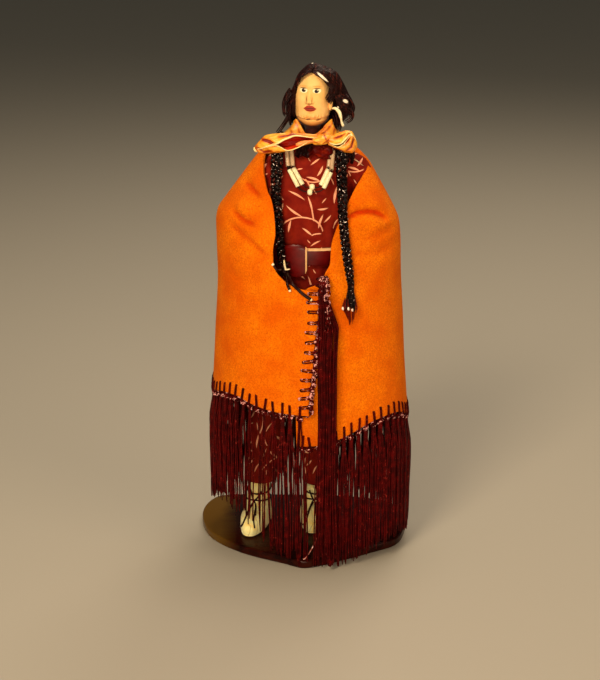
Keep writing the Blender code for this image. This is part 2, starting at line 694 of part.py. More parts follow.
def make_head(parent):
    """The stuffed head and neck, with a small nose, brow, lips and ears."""
    skin = paint("painted_cloth_skin", (0.80, 0.56, 0.26), 0.7)
    rings = []
    for height in HEAD_LEVELS:
        half, front, back = along(HEAD, height)
        ring = []
        for i in range(24):
            even = 2 * math.pi * i / 24
            turn = even - 0.42 * math.sin(even)
            x, y = round_outline(turn, half, half, front, back, 2.15)
            relief = face_relief(turn, x, height)
            reach = math.hypot(x, y)
            x, y = x * (1 + relief / reach), y * (1 + relief / reach)
            ring.append(scaled((
                NECK_X + x * math.cos(FACE_TURN) + y * math.sin(FACE_TURN),
                y * math.cos(FACE_TURN) - x * math.sin(FACE_TURN),
                height,
            )))
        rings.append(ring)
    return loft("head", rings, skin, parent)


def bump(offset, width):
    return math.exp(-(offset / width) ** 2)


def face_relief(turn, x, height):
    """How far the features stand out of the plain head at one place."""
    out = 0.0
    if math.cos(turn) > 0:
        ridge = min(max(1 - (height - NOSE_TIP_HEIGHT) / NOSE_LENGTH, 0.0), 1.0)
        below = bump(max(0.0, NOSE_TIP_HEIGHT - height), 1.4)
        out += NOSE_REACH * bump(x, 1.9) * ridge * below
        out += 0.5 * bump(x, 7.0) * bump(height - BROW_HEIGHT, 1.8)
        out += 0.5 * bump(x, 4.0) * bump(height - MOUTH_HEIGHT, 1.6)
        for eye in (-EYE_OFFSET, EYE_OFFSET):
            out -= 0.6 * bump(x - eye, 2.2) * bump(height - EYE_HEIGHT, 1.8)
    away = abs(abs(math.remainder(turn, 2 * math.pi)) - math.radians(88))
    out += EAR_REACH * bump(away, math.radians(13)) * bump(height - EAR_HEIGHT, 3.2)
    return out


def make_hair(parent):
    """The hair as one mass of combed locks, open at the face and cut to fit head and collar."""
    dark = paint("black_brown_hair", (0.012, 0.003, 0.003), 0.3)
    rings = []
    for height in HAIR_LEVELS:
        left, right, front, back = along(HAIR, height)
        ring = []
        for i in range(28):
            turn = 2 * math.pi * i / 28
            x, y = round_outline(turn, left, right, front, back, 2.1)
            groove = 1 + 0.025 * math.cos(LOCK_COUNT * turn) * min(1.0, (HAIR_LEVELS[-1] - height) / 12)
            ring.append(scaled((NECK_X + x * groove, y * groove, height)))
        rings.append(ring)
    hair = loft("hair", rings, dark, parent)
    add_boolean(hair, head_cutter(dark, parent), "DIFFERENCE")
    add_boolean(hair, face_cutter(dark, parent), "DIFFERENCE")
    add_boolean(hair, collar_solid("collar_cutter", GAP + REST, dark, parent), "DIFFERENCE")
    return hair


def head_cutter(material, parent):
    """The head a little larger all round, with room for the ears."""
    clear = (GAP + REST) / UNIT
    rings = []
    for height in HEAD_ROOM_LEVELS:
        half, front, back = along(HEAD, height - (0 if height < 320 else clear * (height - 320) / 20))
        side = half + clear + EAR_REACH * bump(height - EAR_HEIGHT, 5.0)
        ring = []
        for i in range(20):
            turn = 2 * math.pi * i / 20
            x, y = round_outline(turn, side, side, front + clear, back + clear, 2.1)
            ring.append(scaled((
                NECK_X + x * math.cos(FACE_TURN) + y * math.sin(FACE_TURN),
                y * math.cos(FACE_TURN) - x * math.sin(FACE_TURN),
                height,
            )))
        rings.append(ring)
    return loft("head_cutter", rings, material, parent)


def face_cutter(material, parent):
    """The prism that bares the face, from in front of the hair to the middle of the ears."""
    rings = [[scaled((x, y, height)) for x, height in FACE_OPENING] for y in (-40, -3.5)]
    return loft("face_cutter", rings, material, parent)


def collar_solid(name, grow, material, parent):
    """The folded collar: a flared ring that stands higher at each side of the chin."""
    builder = bmesh.new()
    sides = 22
    rings = []
    for i in range(sides):
        turn = 2 * math.pi * i / sides
        away = abs(math.degrees(math.remainder(turn, 2 * math.pi)))
        top = along(COLLAR_TOP, away)[0]
        ring = []
        for height, outer in ((COLLAR_BOTTOM, False), (COLLAR_BOTTOM, True), (top, True), (top, False)):
            radius = (COLLAR_INNER + COLLAR_FLARE * (height - COLLAR_BOTTOM)) * UNIT
            radius += COLLAR_THICKNESS + grow if outer else -grow
            lift = grow if height > COLLAR_BOTTOM else -grow
            ring.append(builder.verts.new((
                NECK_X * UNIT - radius * math.sin(turn), -radius * math.cos(turn), height * UNIT + lift,
            )))
        rings.append(ring)
    for i in range(sides):
        a, b = rings[i], rings[(i + 1) % sides]
        for k in range(4):
            m = (k + 1) % 4
            builder.faces.new((a[k], b[k], b[m], a[m]))
    return add_object(name, builder, material, parent)


def make_scarf(parent):
    """The satin neckerchief: collar, folded front and the bow's loops and knot."""
    satin = paint("gold_satin", (0.87, 0.38, 0.05), 0.35)
    scarf = collar_solid("scarf", 0.0, satin, parent)
    for name, loop in (("loop_left", LOOP_LEFT), ("loop_right", LOOP_RIGHT)):
        rings = []
        for x, height, tall, y, deep in through(loop, 2):
            rings.append([
                scaled((x, y + deep * math.cos(turn), height + tall * math.sin(turn)))
                for turn in (2 * math.pi * i / 10 for i in range(10))
            ])
        add_boolean(scarf, loft(name, rings, satin, parent), "UNION")
    for name, (centre, radii) in (("knot", KNOT), ("bib", BIB)):
        add_boolean(scarf, ball(name, scaled(centre), scaled(radii), satin, parent), "UNION")
    return scarf


def braid_stations(top, hanging):
    """The braid's middle line with its radius, resting on the chest, the belt or the felt."""
    line = through([(x, height, share) for x, height, share in hanging], 4)
    stations = [(scaled((x, y, z)), share * BRAID_RADIUS) for x, y, z, share in through(top, 2)]
    for x, height, share in line:
        radius = share * BRAID_RADIUS
        out = torso_front(x, min(height, BRAID_CHEST_TOP))
        if height < BRAID_OFF_BELT:
            out = max(out, belt_front(x))
        if x > 0:
            over_edge = min(max((BRAID_OVER_FELT - height) / BRAID_OVER_FELT_RUN, 0.0), 1.0)
            out = out + max(0.0, blanket_front(x, height) - out) * over_edge
        stations.append((Vector((x * UNIT, -out - radius - REST, height * UNIT)), radius))
    return stations


def make_braid(name, top, hanging, loose_below, parent):
    """A three-strand braid: a tube whose sides swell in turn, with a loose end below."""
    stations = braid_stations(top, hanging)
    rings = tube_rings(stations, 8)
    for ring, (point, radius) in zip(rings, stations):
        height = point.z / UNIT
        plaited = height > loose_below
        for i, corner in enumerate(ring):
            out = corner - point
            side = out.x / radius
            wave = math.sin(2 * math.pi * PLAITS * (height - 200) / 80)
            swell = 0.12 * wave * side if plaited else 0.05 * math.cos(math.pi * i)
            ring[i] = point + out * (0.88 + swell)
    return loft(name, rings, paint(name + "_hair", (0.012, 0.003, 0.003), 0.35), parent)


def make_braid_tie(parent):
    """The dark thong round the end of the left braid, with its two loose ends on the felt."""
    leather = paint("dark_thong", (0.03, 0.006, 0.005), 0.4)
    end = braid_stations(BRAID_TOP_LEFT, BRAID_LEFT)[-1][0]
    start = Vector((end.x, end.y, end.z - GAP - 2 * THONG_RADIUS))
    start.y = -(belt_front(end.x / UNIT) + 2.2 * THONG_RADIUS + REST)
    knot = (2.9 * THONG_RADIUS, 2.0 * THONG_RADIUS, 2.0 * THONG_RADIUS)
    tie = ball("braid_tie", start, knot, leather, parent, 10, 6)
    for name, tail in (("tail_short", THONG_SHORT), ("tail_long", THONG_LONG)):
        route = [start]
        for x, reach, height in tail:
            front = blanket_front(x, height) + lap(0) + reach * THONG_RADIUS + REST
            route.append(Vector((x * UNIT, -front, height * UNIT)))
        stations = [(p, THONG_RADIUS) for p in through(route, 3)]
        add_boolean(tie, loft(name, tube_rings(stations, 6), leather, parent), "UNION")
    return tie


def strand_points(strand):
    """A necklace strand's corners, laid on the chest."""
    points = []
    for x, height in strand:
        front = torso_front(x, min(height, CHEST_TOP)) + TUBE_DIAMETER / 2 + GAP + CHEST_SAG * UNIT
        points.append(Vector((x * UNIT, -front, height * UNIT)))
    return points


def make_necklace(parent):
    """Two strands of bone tubes threaded on cord, with a round bead at the middle of each."""
    bone = paint("bone", (0.95, 0.90, 0.66), 0.4)
    dark = paint("dark_cord", (0.02, 0.008, 0.006), 0.6)
    number = 0
    for label, strand in (("outer", STRAND_OUTER), ("inner", STRAND_INNER)):
        points = strand_points(strand)
        for k in (0, 1, 4, 5):
            number += 1
            make_tube("necklace_tube_%d" % number, points[k], points[k + 1], bone, parent)
        middle = points[3]
        ring_bead("necklace_bead_" + label, middle, points[4] - points[2], bone, parent)
        reach = (points[4] - points[2]).normalized() * (BEAD_DIAMETER / 2 + GAP)
        route = points[:3] + [middle - reach, middle + reach] + points[4:]
        cord = [(p, CORD_DIAMETER / 2) for p in route]
        loft("necklace_cord_" + label, tube_rings(cord, 5), dark, parent)


def make_tube(name, upper, lower, material, parent):
    """A bone tube with a bore, centred between two corners of its strand."""
    middle, ahead = (upper + lower) / 2, (lower - upper).normalized()
    length = min(TUBE_LENGTH, (lower - upper).length - 2 * GAP)
    side = ahead.orthogonal().normalized()
    across = ahead.cross(side)
    builder = bmesh.new()
    rings = []
    bore, outside = TUBE_BORE / 2, TUBE_DIAMETER / 2
    for radius, place in ((bore, -0.5), (outside, -0.5), (outside, 0.5), (bore, 0.5)):
        end = middle + ahead * place * length
        rings.append([
            builder.verts.new(end + radius * (math.cos(t) * side + math.sin(t) * across))
            for t in (2 * math.pi * i / 8 for i in range(8))
        ])
    for k in range(4):
        near, far = rings[k], rings[(k + 1) % 4]
        for i in range(8):
            j = (i + 1) % 8
            builder.faces.new((near[i], near[j], far[j], far[i]))
    return add_object(name, builder, material, parent)


def ring_bead(name, centre, ahead, material, parent):
    """A round bead with a bore along the cord."""
    ahead = ahead.normalized()
    side = ahead.orthogonal().normalized()
    across = ahead.cross(side)
    bore, radius = TUBE_BORE / 2, BEAD_DIAMETER / 2
    reach = math.acos(bore / radius)
    profile = [(radius * math.sin(a), radius * math.cos(a)) for a in (reach * k / 2 for k in range(-2, 3))]
    builder = bmesh.new()
    rings = []
    for forth, out in profile:
        middle = centre + ahead * forth
        rings.append([
            builder.verts.new(middle + out * (math.cos(t) * side + math.sin(t) * across))
            for t in (2 * math.pi * i / 10 for i in range(10))
        ])
    for k in range(len(rings)):
        lower, upper = rings[k], rings[(k + 1) % len(rings)]
        for i in range(10):
            j = (i + 1) % 10
            builder.faces.new((lower[i], lower[j], upper[j], upper[i]))
    return add_object(name, builder, material, parent)


def make_ear_drop(parent):
    """The pale drop that hangs from the right ear."""
    shell_white = paint("shell_white", (0.90, 0.72, 0.58), 0.4)
    return loft("ear_drop", tube_rings(smooth_stations(EAR_DROP, 1), 8), shell_white, parent)


def centre_object(centre):
    """Bring the middle of the object's box over the origin."""
    bpy.context.view_layer.update()
    corners = [
        piece.matrix_world @ vert.co
        for piece in bpy.data.objects if piece.type == "MESH" and not piece.hide_render
        for vert in piece.data.vertices
    ]
    for axis in (0, 1):
        places = [corner[axis] for corner in corners]
        centre.location[axis] = -(min(places) + max(places)) / 2


def main():
    centre, doll = start_scene()
    make_base(centre)
    make_moccasin("moccasin_left", ANKLE_LEFT, TOES_OUT_LEFT, doll)
    make_moccasin("moccasin_right", ANKLE_RIGHT, TOES_OUT_RIGHT, doll)
    make_trousers(doll)
    make_shirt(doll)
    make_belt(doll)
    make_blanket(doll)
    make_hem_fringe(doll)
    make_front_fringe(doll)
    make_head(doll)
    make_hair(doll)
    make_scarf(doll)
    make_braid("braid_left", BRAID_TOP_LEFT, BRAID_LEFT, 0, doll)
    make_braid("braid_right", BRAID_TOP_RIGHT, BRAID_RIGHT, LOOSE_END_TOP, doll)
    make_braid_tie(doll)
    make_necklace(doll)
    make_ear_drop(doll)
    centre_object(centre)


main()
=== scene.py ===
"""A cloth doll in a felt blanket with a long knotted fringe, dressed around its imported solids.

Lengths are in the doll's own millimetres unless a name says metres. X runs to the right of a viewer
in front of the doll, Y away from that viewer, and Z up from the top of the board.
"""
import random
from math import asin, atan2, copysign, cos, degrees, exp, hypot, pi, radians, remainder, sin, sqrt

import bpy
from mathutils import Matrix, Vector, noise


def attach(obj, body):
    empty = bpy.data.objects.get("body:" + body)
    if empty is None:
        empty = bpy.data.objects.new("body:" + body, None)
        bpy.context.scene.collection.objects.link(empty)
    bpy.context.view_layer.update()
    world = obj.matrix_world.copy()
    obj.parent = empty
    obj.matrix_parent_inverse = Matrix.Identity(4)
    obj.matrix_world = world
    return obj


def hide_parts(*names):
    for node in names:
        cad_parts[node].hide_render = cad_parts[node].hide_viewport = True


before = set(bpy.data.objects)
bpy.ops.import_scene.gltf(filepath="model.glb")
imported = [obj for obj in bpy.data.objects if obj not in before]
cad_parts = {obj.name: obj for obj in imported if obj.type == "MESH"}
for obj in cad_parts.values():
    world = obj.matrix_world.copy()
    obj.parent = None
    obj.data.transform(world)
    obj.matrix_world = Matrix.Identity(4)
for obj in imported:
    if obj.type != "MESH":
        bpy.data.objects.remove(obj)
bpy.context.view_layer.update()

MM = 0.001
STAND = Vector((3.519, -0.956, 6.0))

# The doll's shape, as its solids have it: heights with reaches from the axis
BLANKET_REACH = [
    (85, 69.5, 71.0, 50.0, 46.5), (118, 67.7, 68.6, 49.5, 45.0), (150, 65.9, 66.2, 48.8, 42.5),
    (177, 64.1, 64.3, 47.6, 40.0), (203, 63.0, 63.1, 45.6, 37.5), (222, 63.4, 62.4, 43.0, 35.0),
    (234, 63.8, 61.1, 40.5, 33.0), (241, 62.6, 58.5, 38.8, 31.5), (250, 56.4, 54.0, 35.6, 29.5),
    (260, 48.8, 48.6, 31.0, 27.0), (270, 41.4, 43.0, 26.0, 24.0), (279, 34.6, 38.0, 21.0, 21.0),
    (284, 30.0, 34.0, 18.0, 18.5), (287.5, 25.5, 29.5, 15.0, 16.0),
]
LEFT_EDGE = [
    (80, -0.9), (121, -0.4), (141, 1.8), (166, 3.7), (176, 5.0), (196, 5.3), (197.6, -5.0),
    (200, -11.5), (204, -17.0), (209, -20.8), (214, -22.6), (219, -23.0), (226, -22.4), (234, -21.2),
    (245, -21.8), (255, -23.6), (260, -26.2), (265, -27.8), (271, -29.8), (277, -30.8), (283, -31.0),
]
RIGHT_EDGE = [
    (80, -8.6), (120, -9.2), (190, -7.0), (197, -2.0), (200, 4.0), (203, 8.5), (208, 10.5),
    (214, 13.6), (224, 14.2), (239, 18.7), (252, 24.8), (263, 32.0), (268, 36.0), (273, 39.0),
    (278, 38.4), (283, 34.6),
]
HEM_HEIGHT = [
    (-2, 109), (14, 111.6), (30, 116), (42, 119.6), (54, 119.4), (66, 117), (80, 114), (92, 112.5),
    (135, 108), (180, 103), (225, 98), (262, 94.5), (275, 95), (286, 98), (298, 102.6), (309, 104),
    (320, 102.8), (330, 100), (340, 94.6), (350, 89.4), (358, 86.4), (364, 86),
]
BLANKET_LEVELS = [85, 112, 142, 170, 188, 195.5, 198.5, 203, 209, 220, 234, 242, 252, 263, 275, 283, 287.5]
TORSO = [
    (180, 31.5, 25.5, 23.5), (196, 30.2, 25.0, 22.0), (208, 29.0, 24.5, 21.0),
    (224, 29.0, 24.6, 21.0), (244, 31.0, 26.0, 21.0), (262, 33.0, 26.3, 20.5),
    (274, 31.0, 24.6, 18.0), (281, 24.0, 20.6, 14.8), (286, 16.0, 15.0, 11.5), (290.6, 10.0, 9.4, 9.2),
]
SLEEVE_LEFT = [
    ((-14, -6, 265), 9.0), ((-24.5, -7, 265), 10.0), ((-33, -6, 254), 10.0), ((-48, -6, 237), 10.0),
    ((-50, -14, 223), 8.8), ((-45, -22, 214), 7.6), ((-42, -25, 211), 6.6),
]
SLEEVE_RIGHT = [
    ((16, -6, 267), 9.0), ((28, -6, 269.6), 11.2), ((35.0, -5, 256), 10.6), ((45, -6, 235), 10.2),
    ((47, -14, 219), 8.8), ((43, -22, 210), 7.6), ((40, -25, 207), 6.6),
]
LEG_LEFT = [(41, -35, 16, 12.0), (80, -30, 11, 13.5), (120, -19, 3, 16.5)]
LEG_RIGHT = [(41, 8, 14, 13.5), (80, 12, 10, 14.5), (120, 16, 3, 16.5)]
PELVIS = [
    (104, 24.0, 15.0, 15.0), (118, 33.0, 20.0, 20.0), (150, 33.5, 23.5, 23.5), (179.5, 31.5, 25.0, 23.5),
]
MOCCASIN = [
    (0.3, 8.2, 26.0, 9.0), (2.0, 9.6, 28.2, 10.6), (6.0, 10.2, 28.6, 11.2), (10.0, 10.0, 26.5, 11.0),
    (14.0, 9.2, 20.0, 10.6), (18.0, 8.4, 11.5, 10.0), (24.0, 7.8, 8.6, 9.0), (32.0, 8.0, 8.4, 8.6),
    (40.6, 8.6, 8.8, 8.8),
]
HEAD = [
    (290.9, 7.8, 7.6, 7.8), (296.0, 7.6, 7.4, 7.8), (298.2, 8.4, 9.2, 9.0), (300.6, 10.2, 11.4, 10.6),
    (304.0, 11.2, 12.4, 12.0), (311.0, 11.8, 12.9, 13.6), (318.0, 12.0, 13.1, 14.6),
    (322.0, 11.6, 13.0, 14.8), (326.5, 10.3, 12.4, 14.0), (330.5, 8.6, 11.2, 12.4), (333.6, 6.6, 9.4, 9.8),
    (335.6, 4.4, 7.2, 7.0), (336.8, 2.2, 4.4, 4.0), (337.2, 0.0, 0.0, 0.0),
]
BRAID_LEFT = [
    (-21.4, 278.0, 1.25), (-21.8, 270.0, 1.25), (-22.2, 262.0, 1.10), (-21.6, 251.0, 1.0),
    (-20.8, 240.0, 1.0), (-19.8, 227.0, 0.95), (-19.0, 216.0, 0.90), (-18.2, 208.0, 0.75),
]
BRAID_RIGHT = [
    (20.8, 278.0, 1.22), (21.0, 270.0, 1.20), (21.4, 260.6, 1.10), (21.6, 248.0, 1.0),
    (22.4, 237.0, 1.0), (23.6, 226.8, 1.0), (25.0, 216.5, 0.98), (26.5, 206.0, 0.90),
    (27.2, 198.0, 0.62), (27.2, 191.0, 1.05), (27.2, 182.0, 1.20), (28.0, 173.0, 0.55),
]
BRAID_TOP_LEFT = [(-18.6, -3.0, 291.4, 1.05), (-20.8, -13.0, 289.6, 1.15), (-21.2, -20.5, 285.6, 1.20)]
BRAID_TOP_RIGHT = [(21.2, -3.0, 291.4, 1.05), (21.4, -13.0, 289.6, 1.15), (21.2, -20.5, 285.6, 1.20)]
# Each strand's corners from left to right, with how far each stands off the shirt
STRAND_OUTER = [
    (-15.3, 287.5, 0.0), (-13.9, 274.0, 0.0), (-7.2, 261.6, 0.0), (0.2, 258.8, 0.0), (9.0, 261.0, 1.2),
    (14.2, 272.4, 1.6), (15.6, 286.0, 1.2),
]
STRAND_INNER = [
    (-12.2, 287.5, 0.3), (-11.0, 275.0, 0.2), (-4.3, 263.4, 0.2), (1.6, 262.3, 0.0), (7.0, 262.8, 0.0),
    (12.4, 274.2, 0.0), (14.2, 287.0, 0.0),
]
BASE_OUTLINE = [
    (-1.00, 0.40), (-0.93, 0.83), (-0.74, 1.00), (-0.20, 1.00), (0.38, 0.96), (0.82, 0.80),
    (0.98, 0.49), (1.00, 0.16), (0.90, -0.33), (0.62, -0.60), (0.20, -0.91), (0.00, -1.00),
    (-0.17, -0.89), (-0.60, -0.57), (-0.90, -0.14),
]
NECK_X, TORSO_X = 2.1, 1.0
FELT_POWER, TORSO_POWER = 2.4, 2.3
FELT = 1.8
FACE_TURN = radians(8)
BRAID_RADIUS = 3.3
BELT_THICK, BELT_GAP = 1.9, 0.3
BACK_FRINGE = 87.0
HEM_BASE, HEM_FADE = 85, 87
SHIRT_TAIL, SHIRT_HEIGHT, CHEST_TOP = 180.5, 110, 281
KNOT_HEIGHT = 203.6
BASE_X, BASE_Y, BASE_HALF_X, BASE_HALF_Y = -3.8, 3.1, 76.0, 55.5


# Where things are
def spot(point):
    """A point in the doll's millimetres, as a place in the frame."""
    return (Vector(point) + STAND) * MM


def slope(table, k, column):
    return (table[k + 1][column] - table[k][column]) / (table[k + 1][0] - table[k][0])


def gentle(before, after):
    return 0.0 if before * after <= 0 else 2 * before * after / (before + after)


def along(table, place):
    """The values of a table at one place, joined by curves that never overshoot."""
    if place <= table[0][0]:
        return table[0][1:]
    if place >= table[-1][0]:
        return table[-1][1:]
    k = 0
    while table[k + 1][0] < place:
        k += 1
    span = table[k + 1][0] - table[k][0]
    t = (place - table[k][0]) / span
    values = []
    for column in range(1, len(table[0])):
        step = slope(table, k, column)
        before = slope(table, k - 1, column) if k > 0 else step
        after = slope(table, k + 1, column) if k + 2 < len(table) else step
        values.append(
            table[k][column] * (1 + 2 * t) * (1 - t) ** 2 + gentle(before, step) * span * t * (1 - t) ** 2
            + table[k + 1][column] * t * t * (3 - 2 * t) + gentle(step, after) * span * t * t * (t - 1)
        )
    return tuple(values)


def through(points, steps, closed=False):
    """A smooth line through points of any width, with the given steps between each two."""
    points = [Vector(p) for p in points]
    count = len(points)
    line = []
    for k in range(count if closed else count - 1):
        if closed:
            a, b, c, d = (points[(k + i) % count] for i in (-1, 0, 1, 2))
        else:
            a, b, c, d = (points[min(max(k + i, 0), count - 1)] for i in (-1, 0, 1, 2))
        for i in range(steps):
            t = i / steps
            line.append(0.5 * (2 * b + (c - a) * t + (2 * a - 5 * b + 4 * c - d) * t ** 2
                               + (3 * b - a - 3 * c + d) * t ** 3))
    if not closed:
        line.append(points[-1])
    return line


def round_outline(angle, left, right, front, back, power):
    """A point of a rounded outline. Angle 0 faces the front, and a quarter turn the left."""
    side, ahead = sin(angle), cos(angle)
    x = -copysign(abs(side) ** (2 / power), side) * (left if side > 0 else right)
    y = -copysign(abs(ahead) ** (2 / power), ahead) * (front if ahead > 0 else back)
    return x, y


def bump(offset, width):
    return exp(-(offset / width) ** 2)


def ease(value, start, end):
    """0 before the start, 1 past the end, and smooth between."""
    t = min(max((value - start) / (end - start), 0.0), 1.0)
    return t * t * (3 - 2 * t)


def rough(point, size, seed=0.0):
    """Smooth unevenness from -1 to 1, with the given size of its lumps."""
    return noise.noise(Vector(point) / size + Vector((seed, seed * 0.7, seed * 1.3)))


def far_from(x, z, line):
    """The distance from a point to a bent line, and the share of the line passed there."""
    best, share = 1e9, 0.0
    for k, ((ax, az), (bx, bz)) in enumerate(zip(line, line[1:])):
        run = (bx - ax) ** 2 + (bz - az) ** 2
        t = min(max(((x - ax) * (bx - ax) + (z - az) * (bz - az)) / run, 0.0), 1.0)
        away = hypot(x - ax - t * (bx - ax), z - az - t * (bz - az))
        if away < best:
            best, share = away, (k + t) / (len(line) - 1)
    return best, share


def oval_front(offset, half, front, power):
    """How far forward a rounded outline reaches at one side's offset from its axis."""
    share = min(abs(offset) / half, 0.98)
    return front * (1 - share ** power) ** (1 / power)


def torso_front(x, height):
    half, front = along(TORSO, height)[:2]
    return oval_front(x - TORSO_X, half, front, TORSO_POWER)


def waist_reach():
    rows = [along(TORSO, height) for height in (196, 200, 208, 216, 224, 228)]
    return [max(row[k] for row in rows) + BELT_GAP for k in range(3)]


def belt_front(x):
    half, front = waist_reach()[:2]
    layers = 2 * (BELT_THICK + BELT_GAP)
    return oval_front(x - TORSO_X, half + layers, front + layers, TORSO_POWER)


def blanket_front(x, height):
    left, right, front = along(BLANKET_REACH, height)[:3]
    return oval_front(x, left if x < 0 else right, front, FELT_POWER)


def creased(creases, x, height, before, after):
    """How deep a cloth's creases are there: the whole, and that of the valleys alone."""
    whole = valley = 0.0
    for line, deep, wide in creases:
        away, share = far_from(x, height, line)
        if away < 3 * wide:
            part = deep * ease(share, before, after) * ease(1 - share, before, after) * bump(away, wide)
            whole += part
            valley += max(part, 0.0)
    return whole, valley


# Making meshes
def take(piece):
    """Make one piece the only one chosen."""
    bpy.ops.object.select_all(action="DESELECT")
    piece.select_set(True)
    bpy.context.view_layer.objects.active = piece
    return piece


def with_modifier(piece, kind, **settings):
    """Add a modifier and apply it at once."""
    take(piece)
    step = piece.modifiers.new(kind.lower(), kind)
    for key, value in settings.items():
        setattr(step, key, value)
    bpy.ops.object.modifier_apply(modifier=step.name)
    return piece


def edit(piece, *steps):
    """Run edit-mode operators on the whole piece."""
    take(piece)
    bpy.ops.object.mode_set(mode="EDIT")
    bpy.ops.mesh.select_all(action="SELECT")
    for operator, settings in steps:
        operator(**settings)
    bpy.ops.object.mode_set(mode="OBJECT")
    return piece


def weld(piece, gap=0.00002):
    """Close seams and poles, and turn all faces outwards."""
    return edit(piece, (bpy.ops.mesh.remove_doubles, {"threshold": gap}),
                (bpy.ops.mesh.normals_make_consistent, {"inside": False}))


def begin(name, primitive, **settings):
    """Add a primitive by itself, and name it."""
    bpy.ops.object.select_all(action="DESELECT")
    primitive(**settings)
    piece = bpy.context.object
    piece.name = piece.data.name = name
    return piece


def wear(piece, slot, *finishes, stands_for=()):
    """Give a piece its materials, its body and the solids that it stands for."""
    for finish in finishes:
        piece.data.materials.append(finish)
    piece.data.shade_smooth()
    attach(piece, "root")
    if stands_for:
        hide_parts(*stands_for)
    return piece


def shaped_grid(name, columns, rows, shape, spread=None):
    """A grid whose points are bent into a form. shape and spread take shares across and up."""
    piece = begin(name, bpy.ops.mesh.primitive_grid_add, x_subdivisions=columns, y_subdivisions=rows, size=1)
    mesh = piece.data
    shares = [(vert.co.x + 0.5, vert.co.y + 0.5) for vert in mesh.vertices]
    for vert, (u, v) in zip(mesh.vertices, shares):
        vert.co = spot(shape(u, v))
    if spread:
        layer = mesh.uv_layers[0].data
        for loop in mesh.loops:
            layer[loop.index].uv = spread(*shares[loop.vertex_index])
    mesh.update()
    return piece


def face_out(piece, centre):
    """Turn an open sheet's faces away from a centre."""
    middle = spot(centre)
    lean = sum(face.normal.dot(face.center - middle) * face.area for face in piece.data.polygons)
    if lean < 0:
        edit(piece, (bpy.ops.mesh.flip_normals, {}))
    return piece


def strands(name, routes, sides=6, closed=False):
    """Tubes along routes of (point, wide, thick, outward or None) stations, as one mesh."""
    verts, faces, around = [], [], []
    for route in routes:
        first, count = len(verts), len(route)
        side, run, runs = None, 0.0, []
        for k, (point, wide, thick, outward) in enumerate(route):
            back = route[(k - 1) % count][0] if closed else route[max(k - 1, 0)][0]
            ahead = route[(k + 1) % count][0] if closed else route[min(k + 1, count - 1)][0]
            heading = (ahead - back).normalized()
            if outward is not None:
                side = heading.cross(outward)
            elif side is None:
                side = heading.orthogonal()
            side = (side - heading * side.dot(heading)).normalized()
            across = heading.cross(side)
            run += (point - route[k - 1][0]).length if k else 0.0
            runs.append(run)
            for i in range(sides):
                turn = 2 * pi * i / sides
                verts.append(spot(point + side * wide * cos(turn) + across * thick * sin(turn)))
        for k in range(count if closed else count - 1):
            m = (k + 1) % count
            low, high = runs[k], runs[m] if m else runs[k] + (route[0][0] - route[k][0]).length
            for i in range(sides):
                j = (i + 1) % sides
                faces.append((first + k * sides + i, first + k * sides + j,
                              first + m * sides + j, first + m * sides + i))
                around += [i / sides, low, (i + 1) / sides, low, (i + 1) / sides, high, i / sides, high]
        if not closed:
            faces.append(tuple(first + i for i in reversed(range(sides))))
            faces.append(tuple(first + (count - 1) * sides + i for i in range(sides)))
            around += [0.0, 0.0] * sides + [0.0, run] * sides
    mesh = bpy.data.meshes.new(name)
    mesh.from_pydata(verts, [], faces)
    mesh.uv_layers.new(name="along").data.foreach_set("uv", around)
    mesh.update()
    piece = bpy.data.objects.new(name, mesh)
    bpy.context.scene.collection.objects.link(piece)
    return piece


def ring(middle, first, second, count, step, off=0.0):
    """Points round a middle, from one half axis towards the other, with one turn between each two."""
    turns = [off + step * i for i in range(count)]
    return [Vector(middle) + Vector(first) * cos(t) + Vector(second) * sin(t) for t in turns]


def store_painted_shade(piece, depth):
    """Store a share of painted shade at each point, mostly how deep in a fold it lies, for the cloth's colour."""
    layer = piece.data.attributes.new("depth", "FLOAT", "POINT")
    layer.data.foreach_set("value", [depth(Vector(vert.co) / MM - STAND) for vert in piece.data.vertices])


def plain(points, radius):
    """Stations of one even round thread."""
    return [(Vector(p), radius, radius, None) for p in points]


def swelling(stations):
    """Stations from their X, Y, Z and radius, or from two radii for a flatter thread."""
    return [(Vector(s[:3]), s[3], s[-1], None) for s in stations]


def spun(points, steps, radius, closed=False):
    """Stations of one even round thread, smoothed through points."""
    return plain(through(points, steps, closed), radius)


# Materials
def tone(code):
    """An sRGB hex colour as the linear values that shaders take."""
    parts = [int(code[i:i + 2], 16) / 255 for i in (1, 3, 5)]
    return tuple(c / 12.92 if c <= 0.04045 else ((c + 0.055) / 1.055) ** 2.4 for c in parts) + (1.0,)


def add(tree, kind, links=None, **settings):
    """Add one node with its settings, and its inputs as values or as other nodes' outputs."""
    made = tree.nodes.new("ShaderNode" + kind)
    for key, value in settings.items():
        setattr(made, key, value)
    for key, value in (links or {}).items():
        if isinstance(value, bpy.types.NodeSocket):
            tree.links.new(value, made.inputs[key])
        else:
            made.inputs[key].default_value = value
    return made.outputs


def finish_of(name, colour, roughness, **fixed):
    """Start a Principled material with what is the same all over it. Gives its tree and its place too."""
    made = bpy.data.materials.new(name)
    made.use_nodes = True
    shader = made.node_tree.nodes["Principled BSDF"]
    shader.inputs["Base Color"].default_value = tone(colour)
    shader.inputs["Roughness"].default_value = roughness
    for key, value in fixed.items():
        shader.inputs[key.replace("_", " ")].default_value = value
    return made, made.node_tree, add(made.node_tree, "TexCoord")["Object"]


def dye(tree, below, above, pattern, low, high, least=0.0, most=1.0):
    """One colour over another, coming in from least to most as a pattern goes from low to high."""
    below, above = (tone(c) if isinstance(c, str) else c for c in (below, above))
    share = add(tree, "MapRange", {0: pattern, 1: low, 2: high, 3: least, 4: most})[0]
    return add(tree, "Mix", {0: share, 6: below, 7: above}, data_type="RGBA")[2]


